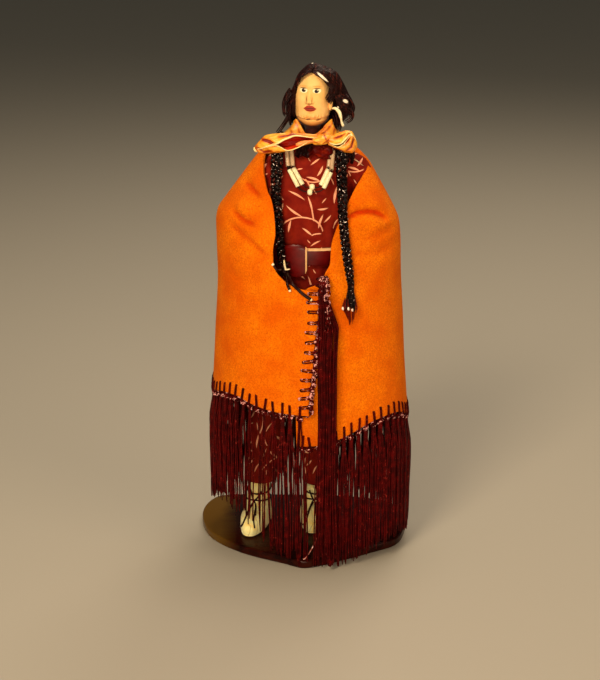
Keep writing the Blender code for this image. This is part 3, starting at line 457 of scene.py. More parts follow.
def join(made, colour, height, strength, depth):
    """Link a pattern's colour and its relief, of a depth in metres, to the material's shader."""
    tree = made.node_tree
    shader = tree.nodes["Principled BSDF"]
    relief = add(tree, "Bump", {"Strength": strength, "Distance": depth, "Height": height})[0]
    tree.links.new(colour, shader.inputs["Base Color"])
    tree.links.new(relief, shader.inputs["Normal"])
    return made


def wool_felt():
    """Milled wool felt: matt, clouded by the dye, with short fibres about 1 mm apart that show as grain, and painted
    shade in its creases.
    """
    made, tree, place = finish_of("wool_felt", "#EE7A0A", 0.92, Sheen_Weight=0.12, Sheen_Roughness=0.6,
                                  Sheen_Tint=tone("#FFA040"), Specular_IOR_Level=0.05)
    cloud = add(tree, "TexNoise", {"Vector": place, "Scale": 55.0, "Detail": 3.0})[0]
    fibre = add(tree, "TexNoise", {"Vector": place, "Scale": 950.0, "Detail": 6.0, "Roughness": 0.75})[0]
    lay = add(tree, "Mapping", {"Vector": place, "Scale": (1.0, 1.0, 0.35), "Rotation": (0.5, 0.3, 0.2)})[0]
    matted = add(tree, "TexNoise", {"Vector": lay, "Scale": 420.0, "Detail": 5.0, "Distortion": 1.5})[0]
    crease_shade = add(tree, "Attribute", attribute_name="depth")["Fac"]
    base = dye(tree, "#E46400", "#FF8C06", cloud, 0.34, 0.66)
    grained = dye(tree, "#C85000", base, fibre, 0.35, 0.68)
    light = dye(tree, grained, "#FFA02A", matted, 0.62, 0.8, 0.0, 0.35)
    # Painted shade: red-orange in the creases' valleys, from the stored depth.
    colour = dye(tree, light, "#C02400", crease_shade, 0.25, 1.0, 0.0, 0.8)
    height = add(tree, "Math", {0: fibre, 1: matted}, operation="ADD")[0]
    return join(made, colour, height, 0.55, 0.0005)


def silk_thread(name, dark, light, gleam, shine):
    """Twisted rayon thread: silky, its plies showing as slanting ridges, with painted shade in the grooves between
    them and painted highlights that glint pink on their ridges.
    """
    made, tree, place = finish_of(name, dark, 0.55, Specular_IOR_Level=0.07)
    twist = 2.4  # millimetres of thread to one turn
    around = add(tree, "SeparateXYZ", {0: add(tree, "UVMap")[0]})
    wound = add(tree, "Math", {0: around[1], 1: 1 / twist, 2: around[0]}, operation="MULTIPLY_ADD")[0]
    turns = add(tree, "Math", {0: wound, 1: 4 * pi}, operation="MULTIPLY")[0]
    ply = add(tree, "Math", {0: turns}, operation="SINE")[0]
    patch = add(tree, "TexNoise", {"Vector": place, "Scale": 260.0, "Detail": 2.0})[0]
    base = dye(tree, dark, light, patch, 0.38, 0.66)
    # Painted shade in the grooves between the plies.
    painted_shading = dye(tree, base, "#140001", ply, -1.0, 0.2, 0.6, 0.0)
    # Painted highlight: the gleam colour in specks along the ply ridges, more of them the higher shine is.
    glint = add(tree, "TexNoise", {"Vector": place, "Scale": 430.0, "Detail": 1.0})[0]
    ridge = add(tree, "Math", {0: ply, 1: 0.06, 2: glint}, operation="MULTIPLY_ADD")[0]
    colour = dye(tree, painted_shading, gleam, ridge, 1.0 - shine, 1.05 - shine, 0.0, 0.85)
    return join(made, colour, ply, 0.5, 0.0002)


PRINT_TILE = (-20.0, 20.0, 226.0, 281.0)
# The print: the two ends of each leaf, its half width and how far it bows. Then the stems
PRINT_LEAVES = [
    (0.6, 275.6, 7.6, 279.6, 0.9, 0.3), (-1.6, 280.3, 0.6, 277.8, 0.5, 0.0), (4.6, 268.6, 8.6, 275.2, 1.2, -0.4),
    (-8.4, 272.6, -4.2, 273.6, 0.7, 0.0), (-2.0, 268.0, 6.6, 265.2, 1.2, 0.5), (-12.6, 258.6, -2.8, 252.6, 1.1, 0.6),
    (-1.1, 255.4, 2.0, 243.5, 0.9, 0.4), (7.8, 250.4, 10.6, 253.8, 0.7, 0.0), (4.8, 246.4, 12.2, 247.0, 1.1, -0.5),
    (-14.6, 248.6, -4.4, 241.2, 1.2, -0.5), (6.0, 233.0, 9.0, 242.8, 1.3, 0.4), (9.6, 236.8, 14.2, 242.0, 1.0, -0.3),
    (-14.6, 229.6, -12.0, 238.8, 1.1, 0.3), (-5.2, 233.4, 1.8, 228.0, 1.1, 0.4), (15.6, 249.6, 16.6, 261.0, 1.2, 0.5),
    (2.4, 259.6, 4.4, 256.6, 0.6, 0.0), (16.0, 232.0, 19.0, 239.0, 0.9, 0.4), (-18.8, 262.0, -16.0, 268.6, 0.9, 0.3),
    (-18.0, 243.0, -16.4, 250.0, 0.8, 0.2), (12.4, 268.0, 14.6, 262.4, 0.6, 0.2),
]
PRINT_STEMS = [
    (-6.0, 268.2, 8.9, 266.4, 0.38, -2.6), (-2.6, 266.6, 0.2, 261.8, 0.34, 0.3), (1.6, 246.0, 2.8, 238.4, 0.4, 0.0),
    (-17.8, 235.0, 2.6, 239.4, 0.45, 3.4), (2.4, 239.4, 9.2, 230.8, 0.45, 1.2),
    (15.9, 259.0, 16.9, 272.6, 0.38, -1.4),
    (1.6, 228.2, 8.0, 229.4, 0.36, 0.4), (-16.2, 252.0, -19.4, 259.6, 0.34, 0.6),
]


def printed_cotton():
    """Printed cotton lawn: a maroon ground with pale lance leaves on thin stems, in a 40 by 55 mm repeat."""
    made, tree, place = finish_of("printed_cotton_shirt", "#6C0A02", 0.78, Specular_IOR_Level=0.12)
    flat = add(tree, "UVMap")[0]
    x0, x1, z0, z1 = PRINT_TILE
    tile = add(tree, "VectorMath", {0: flat, 1: (x1, z1, 0.0), 2: (x0, z0, 0.0)}, operation="WRAP")[0]
    nearest = None
    for strokes, leaf in ((PRINT_LEAVES, True), (PRINT_STEMS, False)):
        for ax, az, bx, bz, half, bow in strokes:
            half *= 0.62 if leaf else 1.15
            run = hypot(bx - ax, bz - az)
            tilt = atan2(bz - az, bx - ax)
            apex = ((ax + bx) / 2 - bow * sin(tilt), (az + bz) / 2 + bow * cos(tilt), 0.0)
            local = add(tree, "Mapping", {0: tile, 1: apex, 2: (0.0, 0.0, tilt), 3: (run / 2, half, 1.0)},
                        vector_type="TEXTURE")[0]
            part = add(tree, "SeparateXYZ", {0: local})
            square = add(tree, "Math", {0: part[0], 1: part[0]}, operation="MULTIPLY")[0]
            bent = add(tree, "Math", {0: square, 1: bow / half, 2: part[1]}, operation="MULTIPLY_ADD")[0]
            wide = add(tree, "Math", {0: bent}, operation="ABSOLUTE")[0]
            away = add(tree, "Math", {0: square, 1: wide}, operation="ADD" if leaf else "MAXIMUM")[0]
            if nearest is not None:
                away = add(tree, "Math", {0: nearest, 1: away}, operation="MINIMUM")[0]
            nearest = away
    weave = add(tree, "TexWave", {"Vector": flat, "Scale": 0.45, "Distortion": 0.4}, bands_direction="X")[0]
    weft = add(tree, "TexWave", {"Vector": flat, "Scale": 0.45, "Distortion": 0.4}, bands_direction="Y")[0]
    grain = add(tree, "Math", {0: weave, 1: weft}, operation="MULTIPLY")[0]
    fade = add(tree, "TexNoise", {"Vector": place, "Scale": 120.0, "Detail": 4.0})[0]
    cloth = dye(tree, "#6C0A02", "#8E2008", fade, 0.35, 0.75)
    mark = dye(tree, "#E88860", "#FFB890", fade, 0.2, 0.6)
    return join(made, dye(tree, cloth, mark, nearest, 0.85, 1.12, 1.0, 0.0), grain, 0.25, 0.0002)


def satin(name, light, middle, dark, shine=0.5):
    """Acetate satin: smooth floats that gleam along the folds, with painted shade that falls off through orange to
    red in their depths, by the stored depth and a cloudy noise.
    """
    made, tree, place = finish_of(name, light, 0.36, Sheen_Weight=0.2 * shine, Sheen_Roughness=0.25,
                                  Sheen_Tint=tone("#FFE0A0"), Anisotropic=0.5, Specular_IOR_Level=shine)
    depth = add(tree, "Attribute", attribute_name="depth")["Fac"]
    lay = add(tree, "Mapping", {"Vector": place, "Rotation": (0.0, 0.5, 0.0), "Scale": (0.6, 1.0, 1.3)})[0]
    patch = add(tree, "TexNoise", {"Vector": lay, "Scale": 210.0, "Detail": 3.0, "Distortion": 0.6})[0]
    # Painted shade: the deeper the stored depth, the further the colour goes towards dark.
    drift = add(tree, "Math", {0: patch, 1: 1.25, 2: depth}, operation="MULTIPLY_ADD")[0]
    first = dye(tree, light, middle, drift, 0.42, 0.85)
    colour = dye(tree, first, dark, drift, 0.85, 1.35)
    floats = add(tree, "Mapping", {"Vector": place, "Scale": (1.0, 1.0, 6.0)})[0]
    fine = add(tree, "TexNoise", {"Vector": floats, "Scale": 500.0, "Detail": 3.0})[0]
    return join(made, colour, fine, 0.12, 0.0002)


def framed(tree, place, middle, tilt, sizes):
    """The place as seen from a tilted frame on the doll's front, 1 at its half sizes in millimetres."""
    centre = spot((middle[0], 0, middle[1]))
    return add(tree, "Mapping", {0: place, 1: (centre.x, 0.0, centre.z), 2: (0.0, -radians(tilt), 0.0),
                                 3: (sizes[0] * MM, 1.0, sizes[1] * MM)}, vector_type="TEXTURE")[0]


def painted_cloth():
    """Tight cotton jersey under flesh paint: matt, faintly woven, with the features painted on, and painted shade
    about the face and under the chin.
    """
    made, tree, place = finish_of("painted_face_cloth", "#F5CE80", 0.62, Specular_IOR_Level=0.35,
                                  Sheen_Weight=0.1)
    patch = add(tree, "TexNoise", {"Vector": place, "Scale": 130.0, "Detail": 4.0})[0]
    weave = add(tree, "TexNoise", {"Vector": place, "Scale": 1500.0, "Detail": 2.0})[0]
    colour = dye(tree, "#F4B860", "#FFCE80", patch, 0.3, 0.7)
    # Middle, tilt and half sizes of each painted patch, its edge, whether it is pointed, and its colour
    # Painted shade among them: the soft tan above the eyes, the lines beside the nose and the mark under it, the long
    # patch on the left cheek, the patch under the lower lip, and the line with two dashes along the chin seam.
    patches = [
        ((-3.9, 325.6), 4, (3.2, 0.8), 0.3, True, "#E4A858"), ((4.9, 325.4), -4, (3.4, 0.8), 0.3, True, "#E4A858"),
        ((-2.1, 317.2), 2, (0.55, 3.0), 0.3, True, "#B47A34"), ((1.5, 316.6), -8, (0.5, 2.8), 0.3, True, "#BC8238"),
        ((-0.3, 314.0), 0, (1.5, 0.45), 0.3, True, "#A86A28"), ((-9.0, 309), 0, (2.2, 9.0), 0.2, True, "#E0A858"),
        ((-3.9, 322.9), 0, (2.5, 1.7), 0.8, False, "#FFF6C4"), ((4.8, 322.6), 0, (2.8, 1.7), 0.8, False, "#FFF6C4"),
        ((-3.9, 324.3), 0, (2.5, 0.42), 0.6, True, "#5A2A10"), ((4.8, 324.0), 0, (2.7, 0.42), 0.6, True, "#5A2A10"),
        ((-3.9, 322.8), -8, (1.35, 1.15), 0.8, False, "#1C0A08"),
        ((4.6, 322.3), 8, (1.5, 1.2), 0.8, False, "#1C0A08"),
        ((-3.2, 323.4), 0, (0.4, 0.35), 0.8, False, "#F6E8C0"), ((5.3, 322.9), 0, (0.4, 0.35), 0.8, False, "#F6E8C0"),
        ((0.2, 310.9), -2, (4.3, 1.75), 0.9, True, "#9C2C18"), ((-0.9, 312.1), 12, (2.3, 1.1), 0.9, True, "#A8341C"),
        ((1.4, 311.9), -14, (2.2, 1.0), 0.9, True, "#A8341C"), ((0.4, 310.1), 0, (3.0, 1.0), 0.9, False, "#94260F"),
        ((0.2, 311.2), -2, (3.8, 0.3), 0.8, True, "#5C140C"), ((0.6, 308.2), 0, (2.6, 0.5), 0.3, True, "#D29A4C"),
        ((1.5, 303.7), 0, (8.0, 0.55), 0.3, True, "#C08236"), ((-1.0, 303.6), 0, (1.7, 0.6), 0.5, True, "#6E3A10"),
        ((6.0, 303.5), 8, (2.4, 0.6), 0.5, True, "#7A4414"),
    ]
    for middle, tilt, sizes, edge, pointed, code in patches:
        part = add(tree, "SeparateXYZ", {0: framed(tree, place, middle, tilt, sizes)})
        across = add(tree, "Math", {0: part[0], 1: part[0]}, operation="MULTIPLY")[0]
        up = add(tree, "Math", {0: part[2], 1: part[2]}, operation="ABSOLUTE" if pointed else "MULTIPLY")[0]
        away = add(tree, "Math", {0: across, 1: up}, operation="ADD")[0]
        colour = dye(tree, colour, code, away, edge, 1.15, 1.0, 0.0)
    parts = add(tree, "SeparateXYZ", {0: place})
    aside = add(tree, "Math", {0: parts[0], 1: spot((2.0, 0, 0)).x}, operation="SUBTRACT")[0]
    curve = add(tree, "Math", {0: aside, 1: aside}, operation="MULTIPLY")[0]
    risen = add(tree, "Math", {0: curve, 1: -42.0, 2: parts[2]}, operation="MULTIPLY_ADD")[0]
    edge = add(tree, "Math", {0: patch, 1: 0.002, 2: risen}, operation="MULTIPLY_ADD")[0]
    # Under the chin: a darker tan band of painted shade above the neck line, and the neck below it dark maroon, with
    # a wavy edge.
    neck = spot((0, 0, 299.3)).z
    colour = dye(tree, "#A86A20", colour, edge, neck + 0.001, neck + 0.0042)
    colour = dye(tree, "#3A0604", colour, edge, neck + 0.0005, neck + 0.0013)
    return join(made, colour, weave, 0.2, 0.0002)


def combed_hair(name, dark, light, gleams=(), glint=0.0):
    """Combed viscose hair: fine dark fibres with painted sheen in red-brown streaks, and painted highlights: pale
    streaks at the gleams, on the front only, and pale specks where a glint is given.
    """
    made, tree, place = finish_of(name, dark, 0.4, Specular_IOR_Level=0.1, Coat_Weight=0.04, Coat_Roughness=0.1)
    around = add(tree, "SeparateXYZ", {0: add(tree, "UVMap")[0]})
    parts = add(tree, "SeparateXYZ", {0: place})
    combed = add(tree, "CombineXYZ", {0: around[0], 1: around[1], 2: parts[0]})[0]
    lay = add(tree, "VectorMath", {0: combed, 1: (9.0, 0.06, 0.0)}, operation="MULTIPLY")[0]
    fibre = add(tree, "TexNoise", {"Vector": lay, "Scale": 3.0, "Detail": 4.0, "Roughness": 0.7})[0]
    long = add(tree, "VectorMath", {0: combed, 1: (5.0, 0.12, 300.0)}, operation="MULTIPLY")[0]
    streak = add(tree, "TexNoise", {"Vector": long, "Scale": 1.6, "Detail": 1.0})[0]
    colour = dye(tree, dark, light, fibre, 0.45, 0.75)
    # Painted sheen: red-brown streaks along the fibres.
    colour = dye(tree, colour, "#8A3A28", streak, 0.64, 0.72, 0.0, 0.7)
    front = add(tree, "MapRange", {0: parts[1], 1: spot((0, -1, 0)).y, 2: spot((0, 1, 0)).y, 3: 1.0, 4: 0.0})[0]
    # Painted highlights: each gleam a pale streak broken by the fibres, on the front only.
    for middle, tilt, sizes in gleams:
        local = framed(tree, place, middle, tilt, sizes)
        flat = add(tree, "VectorMath", {0: local, 1: (1.0, 0.0, 1.0)}, operation="MULTIPLY")[0]
        away = add(tree, "VectorMath", {0: flat}, operation="LENGTH")[1]
        broken = add(tree, "Math", {0: fibre, 1: 0.9, 2: away}, operation="MULTIPLY_ADD")[0]
        colour = dye(tree, colour, "#FFF2DC", broken, 1.15, 1.45, front, 0.0)
    # Painted highlights: scattered pale specks.
    if glint:
        speck = add(tree, "TexNoise", {"Vector": place, "Scale": 800.0, "Detail": 1.0})[0]
        colour = dye(tree, colour, "#FFF0E4", speck, 1.0 - glint, 1.02 - glint)
    return join(made, colour, fibre, 0.7, 0.0004)


def smooth_leather(name, dark, light, roughness):
    """Dyed and polished leather: pores about 0.5 mm apart under a coat of wax."""
    made, tree, place = finish_of(name, dark, roughness, Coat_Weight=0.04, Coat_Roughness=0.12,
                                  Specular_IOR_Level=0.15)
    pores = add(tree, "TexVoronoi", {"Vector": place, "Scale": 1400.0})[0]
    patch = add(tree, "TexNoise", {"Vector": place, "Scale": 90.0, "Detail": 5.0})[0]
    return join(made, dye(tree, dark, light, patch, 0.35, 0.7), pores, 0.15, 0.0001)


def soft_hide():
    """Brain-tanned hide: a pale nap, darker in the creases, with fine wrinkles."""
    made, tree, place = finish_of("soft_hide", "#F6E2A0", 0.85, Sheen_Weight=0.3, Specular_IOR_Level=0.25)
    patch = add(tree, "TexNoise", {"Vector": place, "Scale": 140.0, "Detail": 6.0, "Distortion": 0.8})[0]
    nap = add(tree, "TexNoise", {"Vector": place, "Scale": 900.0, "Detail": 4.0})[0]
    crease = add(tree, "TexWave", {"Vector": place, "Scale": 55.0, "Distortion": 9.0, "Detail": 3.0})[0]
    base = dye(tree, "#FFDC72", "#FFFAB4", patch, 0.3, 0.6)
    colour = dye(tree, base, "#9A6A28", crease, 0.0, 0.08, 0.4, 0.0)
    height = add(tree, "Math", {0: crease, 1: 0.6, 2: nap}, operation="MULTIPLY_ADD")[0]
    return join(made, colour, height, 0.4, 0.0004)


def polished_bone(name, shaded_above):
    """Polished bone: cream, streaked along the grain, with painted shadow turning the upper tubes tan above the
    chest.
    """
    made, tree, place = finish_of(name, "#FFF6C8", 0.32, Coat_Weight=0.2)
    lay = add(tree, "Mapping", {"Vector": place, "Scale": (1.0, 1.0, 0.25)})[0]
    streak = add(tree, "TexNoise", {"Vector": lay, "Scale": 900.0, "Detail": 4.0})[0]
    patch = add(tree, "TexNoise", {"Vector": place, "Scale": 160.0, "Detail": 2.0})[0]
    base = dye(tree, "#FFF6C8", "#C79A62", streak, 0.55, 0.8)
    colour = dye(tree, base, "#C08A58", patch, 0.55, 0.8, 0.0, 0.3)
    # Painted shadow: tan above about 276 mm, where the scarf shades the tubes.
    if shaded_above:
        height = add(tree, "SeparateXYZ", {0: place})[2]
        shadow_line = add(tree, "Math", {0: patch, 1: 0.004, 2: height}, operation="MULTIPLY_ADD")[0]
        colour = dye(tree, colour, "#A87850", shadow_line, spot((0, 0, 275)).z, spot((0, 0, 277)).z, 0.0, 0.75)
    return join(made, colour, streak, 0.15, 0.0002)


def varnished_wood():
    """Dark-stained board under thick gloss varnish: long grain, with painted light making it paler olive towards the
    left, where the doll's shadow doesn't reach.
    """
    made, tree, place = finish_of("varnished_wood", "#1E0C06", 0.25, Coat_Weight=0.03, Coat_Roughness=0.05,
                                  Specular_IOR_Level=0.1)
    lay = add(tree, "Mapping", {"Vector": place, "Scale": (0.25, 1.6, 1.0)})[0]
    grain = add(tree, "TexNoise", {"Vector": lay, "Scale": 160.0, "Detail": 6.0, "Distortion": 0.6})[0]
    side = add(tree, "SeparateXYZ", {0: place})[0]
    # Painted light: the board turns paler olive towards its left side, broken by the grain.
    painted_shading = add(tree, "Math", {0: grain, 1: 0.012, 2: side}, operation="MULTIPLY_ADD")[0]
    base = dye(tree, "#180402", "#360E05", grain, 0.35, 0.7)
    colour = dye(tree, base, "#5C4010", painted_shading, -0.056, -0.042, 1.0, 0.0)
    return join(made, colour, grain, 0.08, 0.0002)


def studio_floor():
    """Smooth pale paper."""
    return finish_of("studio_floor", "#A8A294", 0.9)[0]


# The studio
def make_studio():
    camera = bpy.data.objects.new("camera", bpy.data.cameras.new("camera"))
    bpy.context.scene.collection.objects.link(camera)
    camera.location = (-0.0028, -0.932, 0.468)
    camera.rotation_euler = (radians(90 - 18.74), 0, 0)
    camera.data.sensor_width = 36
    camera.data.lens = 1397 / 680 * 36
    camera.data.clip_start, camera.data.clip_end = 0.05, 60
    bpy.context.scene.camera = camera
    floor = begin("studio_floor", bpy.ops.mesh.primitive_plane_add, size=24, location=(0, 6, 0))
    bpy.ops.object.transform_apply(location=True)
    floor.data.materials.append(studio_floor())
    aim = Vector((0, 0, 0.19))
    for name, place, size, power, colour in (
        ("key_light", (-0.5, -1.0, 1.1), 0.4, 14.0, "#FFE6C4"),
        ("fill_light", (0.95, -0.75, 0.75), 0.7, 5.0, "#FFE0BC"),
        ("low_light", (-0.1, -1.25, 0.24), 0.4, 7.5, "#FFE6C8"),
        ("top_light", (0.1, 0.15, 1.4), 0.5, 7.0, "#FFF0DC"),
        ("back_light", (0.5, 1.0, 1.3), 0.6, 7.0, "#FFEAD0"),
    ):
        lamp = bpy.data.lights.new(name, "AREA")
        lamp.size, lamp.energy, lamp.color = size, power, tone(colour)[:3]
        light = bpy.data.objects.new(name, lamp)
        bpy.context.scene.collection.objects.link(light)
        light.location = place
        light.rotation_euler = (Vector(place) - aim).to_track_quat("Z", "Y").to_euler()
    world = bpy.data.worlds.new("pale_room")
    world.use_nodes = True
    world.node_tree.nodes["Background"].inputs["Color"].default_value = tone("#D8D2C4")
    world.node_tree.nodes["Background"].inputs["Strength"].default_value = 0.13
    bpy.context.scene.world = world
    bpy.context.scene.view_settings.view_transform = "Standard"


# The board
def make_base():
    """The board's outline is filled, raised to its thickness, and its edges are softened."""
    outline = through([(x, y, 0) for x, y in BASE_OUTLINE], 8, closed=True)
    board = begin("board", bpy.ops.mesh.primitive_circle_add, vertices=len(outline), radius=1, fill_type="NGON")
    for vert, p in zip(board.data.vertices, outline):
        vert.co = spot((BASE_X + p.x * BASE_HALF_X, BASE_Y + p.y * BASE_HALF_Y, -STAND.z))
    edit(board, (bpy.ops.mesh.extrude_region_move, {"TRANSFORM_OT_translate": {"value": (0, 0, STAND.z * MM)}}),
         (bpy.ops.mesh.select_all, {"action": "SELECT"}),
         (bpy.ops.mesh.normals_make_consistent, {"inside": False}))
    with_modifier(board, "BEVEL", width=0.0013, segments=4, limit_method="ANGLE")
    wear(board, "varnished_wood", varnished_wood(), stands_for=["base"])


# The blanket
def panel_turn(table, height):
    x = along(table, height)[0]
    left, right = along(BLANKET_REACH, height)[:2]
    share = min(abs(x) / (left if x < 0 else right), 1.0)
    turn = asin(share ** (FELT_POWER / 2))
    return turn if x < 0 else -turn


def panel_span(height):
    return panel_turn(LEFT_EDGE, height), 2 * pi + panel_turn(RIGHT_EDGE, height)


def lap(turn):
    """How far the left panel stands out, to lie over the right panel."""
    return (FELT + 1.0) * (1 - ease(degrees(turn), 22, 66))


# Creases pressed into the felt, as bent lines of X and height, with their depth and width
CREASES = [
    ([(24.0, 242.6), (31.9, 245.4), (38.6, 245.8), (45.0, 244.0), (50.3, 240.2)], 3.4, 1.7),
    ([(27.0, 237.6), (38.0, 239.6), (47.0, 235.4)], -1.5, 4.6),
    ([(26.0, 251.5), (37.0, 252.6), (48.0, 247.6)], -1.2, 4.4),
    ([(28.6, 219.7), (44.0, 218.6), (56.8, 222.4)], 1.3, 3.4),
    ([(34.0, 228.5), (46.0, 230.4), (58.0, 233.8)], 1.1, 2.8),
    ([(-50.5, 244.6), (-42.6, 239.9), (-36.0, 238.6)], 2.4, 2.2),
    ([(-42.6, 262.4), (-32.0, 255.4)], 2.2, 2.2),
    ([(-53.6, 237.6), (-39.3, 228.0), (-26.7, 217.9)], 1.5, 3.0),
    ([(-47.0, 250.5), (-38.0, 247.5)], -1.4, 4.0),
    ([(-34.0, 232.0), (-27.0, 224.0)], -1.2, 3.2),
    ([(-24.8, 210.1), (-30.2, 197.0), (-8.0, 189.2)], -1.1, 5.0),
    ([(-25.0, 203.0), (-14.0, 193.0), (-2.0, 190.0)], 0.9, 2.6),
    ([(-56.0, 206.0), (-44.0, 201.0), (-33.0, 203.0)], 0.7, 3.2),
]


def crease_depth(x, height):
    return creased(CREASES, x, height, -0.25, 0.25)


def felt_relief(x, y, height):
    """How far the felt bulges or dips there."""
    out = 0.7 * rough((x, y, height), 38, 3) * ease(height, 88, 130)
    if y < -8:
        out -= crease_depth(x, height)[0]
    return out


def felt_point(turn, height):
    x, y = round_outline(turn, *along(BLANKET_REACH, height), FELT_POWER)
    out = Vector((x, y, 0)).normalized()
    return Vector((x, y, height)) + out * (lap(turn) + felt_relief(x, y, height))


def blanket_point(u, v):
    """A point of the blanket's outer face, by its shares from edge to edge and up from the hem."""
    place = v * (len(BLANKET_LEVELS) - 1)
    k = min(int(place), len(BLANKET_LEVELS) - 2)
    level = BLANKET_LEVELS[k] + (BLANKET_LEVELS[k + 1] - BLANKET_LEVELS[k]) * (place - k)
    drop = max(0.0, 1 - (level - HEM_BASE) / HEM_FADE)
    start, end = panel_span(level)
    turn = start + (end - start) * u
    height = level + (along(HEM_HEIGHT, degrees(turn))[0] - HEM_BASE) * drop
    start, end = panel_span(height)
    turn = start + (end - start) * u
    point = felt_point(turn, height)
    drop = 9.5 * bump(degrees(turn) - 285, 34) * ease(height, 270, 291)
    return point - Vector((0, 0, drop))


def make_blanket():
    blanket = shaped_grid("felt_blanket", 200, 96, blanket_point, lambda u, v: (u * 380, v * 190))
    face_out(blanket, (0, 0, 180))
    with_modifier(blanket, "SOLIDIFY", thickness=FELT * MM, offset=-1, use_rim=True)
    with_modifier(blanket, "BEVEL", width=0.0004, segments=2, limit_method="ANGLE", angle_limit=radians(50))
    # The creases' valleys, stored for the felt's painted shade.
    store_painted_shade(blanket, lambda p: crease_depth(p.x, p.z)[1] / 2.6 if p.y < -8 else 0.0)
    return wear(blanket, "orange_felt", wool_felt(), stands_for=["blanket"])


def hem_line():
    """The hem's outer edge, with the felt's way up at each of its points."""
    count = 600
    line = [blanket_point(k / count, 0.0) for k in range(count + 1)]
    up = [(blanket_point(k / count, 0.02) - line[k]).normalized() for k in range(count + 1)]
    return line, up


def walk(line, step):
    """Numbers of a line's points that lie about one step apart."""
    chosen, travelled = [], 0.0
    for k in range(1, len(line)):
        travelled += (line[k] - line[k - 1]).length
        if travelled >= step:
            chosen.append(k)
            travelled -= step
    return chosen


def make_fringe():
    """Blanket stitches over the hem, and at each a cow hitch with its strands."""
    chance = random.Random(7)
    line, up = hem_line()
    stitches, hitches, hanging = [], [], []
    for k in walk(line, 5.9):
        edge = line[k]
        run = (line[min(k + 2, len(line) - 1)] - line[k - 2]).normalized()
        out = Vector((-run.y, run.x, 0)).normalized()
        if out.dot(Vector((edge.x, edge.y, 0))) < 0:
            out = -out
        rise = (up[k] + run * chance.uniform(-0.12, 0.12)).normalized()
        tall = chance.uniform(6.2, 8.0)
        for aside in (-0.42, 0.42):
            foot = edge + run * aside
            thread = [
                foot + out * 0.75 - rise * 1.2, foot + out * 0.65 + rise * tall * 0.5,
                foot + out * 0.45 + rise * (tall - 0.6), foot - out * 0.5 + rise * tall,
                foot - out * (FELT + 0.1) + rise * (tall - 0.6), foot - out * (FELT + 0.6) + rise * tall * 0.5,
                foot - out * (FELT + 0.4) - rise * 1.2, foot - out * FELT / 2 - rise * 2.0,
            ]
            stitches.append(spun(thread, 3, 0.48, closed=True))
        knot = edge - out * FELT / 2 - Vector((0, 0, 2.6))
        swing = chance.uniform(-0.25, 0.25)
        for height, reach in ((0.0, 1.0), (-1.3, 0.9)):
            side, ahead = run * 1.9 * reach + Vector((0, 0, swing)), out * 1.5 * reach + Vector((0, 0, 0.35))
            loop = ring(knot + Vector((0, 0, height)), side, ahead, 8, pi / 4)
            hitches.append(spun(loop, 2, 0.62, closed=True))
        for i in range(10):
            strand = strand_of_fringe(chance, knot, run, out, edge, i)
            if chance.random() < fringe_left(edge):
                hanging.append(strand)
    stitch = strands("hem_stitches", stitches, 6, closed=True)
    hitch = strands("fringe_hitches", hitches, 6, closed=True)
    fringe = strands("fringe_strands", hanging, 5)
    purl = strands("hem_purl", [purl_route(line, chance)], 6)
    return stitch, hitch, fringe, purl


def fringe_left(edge):
    """The share of the strands still there: it's worn thin in front of the boots."""
    if edge.y > 0:
        return 1.0
    return 1.0 - 0.95 * bump(edge.x + 36.0, 9.0) ** 0.7 - 0.9 * bump(edge.x - 1.0, 8.5) ** 0.7


# The front strands' lengths from left to right
STRAND_LENGTHS = [(-72, 77), (-60, 79), (-46, 86), (-32, 94), (-22, 106), (-6, 106), (2, 97), (12, 94), (42, 96),
                  (60, 92), (72, 86)]


def over_board(x, y):
    """Whether a strand there would come down on the board."""
    x, y = (x - BASE_X) / (BASE_HALF_X + 1.5), (y - BASE_Y) / (BASE_HALF_Y + 1.5)
    inside = False
    for (ax, ay), (bx, by) in zip(BASE_OUTLINE, BASE_OUTLINE[1:] + BASE_OUTLINE[:1]):
        if (ay > y) != (by > y) and x < ax + (y - ay) * (bx - ax) / (by - ay):
            inside = not inside
    return inside


def strand_of_fringe(chance, knot, run, out, edge, number):
    """One strand: from the hitch, spreading as it falls, and lying on the board where it is long."""
    across, deep = (number % 5 - 2) * 0.42, (number // 5 - 0.5) * 1.3
    length = (along(STRAND_LENGTHS, edge.x)[0] if edge.y < 0 else BACK_FRINGE) + chance.uniform(-6.0, 3.0)
    last = edge + out * 3.5
    lowest = 0.7 if over_board(last.x, last.y) else -5.2
    foot_height = max(edge.z - length, lowest + chance.uniform(0, 2.5))
    spread = across * chance.uniform(3.0, 3.9) + chance.uniform(-0.9, 0.9)
    sway, phase = chance.uniform(0.2, 1.1), chance.uniform(0, 6.28)
    outward = deep * 1.1 + chance.uniform(-0.6, 0.6) + 2.2
    stations = []
    for i in range(13):
        t = i / 12
        height = knot.z + 1.2 + (foot_height - knot.z - 1.2) * t
        wide = across + (spread - across) * ease(t, 0.05, 0.36)
        wave = sway * sin(phase + 5.0 * t) * ease(t, 0.05, 0.5)
        place = knot + run * (wide + wave) + out * (deep + (outward - deep) * ease(t, 0, 0.3) + 0.5 * wave)
        radius = 0.5 if t < 0.97 else 0.32
        stations.append((Vector((place.x, place.y, height)), radius, radius, None))
    return stations


def purl_route(line, chance):
    """The thread that runs along under the hem from stitch to stitch."""
    points = []
    for k in range(0, len(line), 3):
        flat = Vector((line[k].x, line[k].y, 0)).normalized()
        points.append(line[k] - flat * FELT / 2 - Vector((0, 0, 0.7 + 0.35 * chance.random())))
    return plain(points, 0.55)


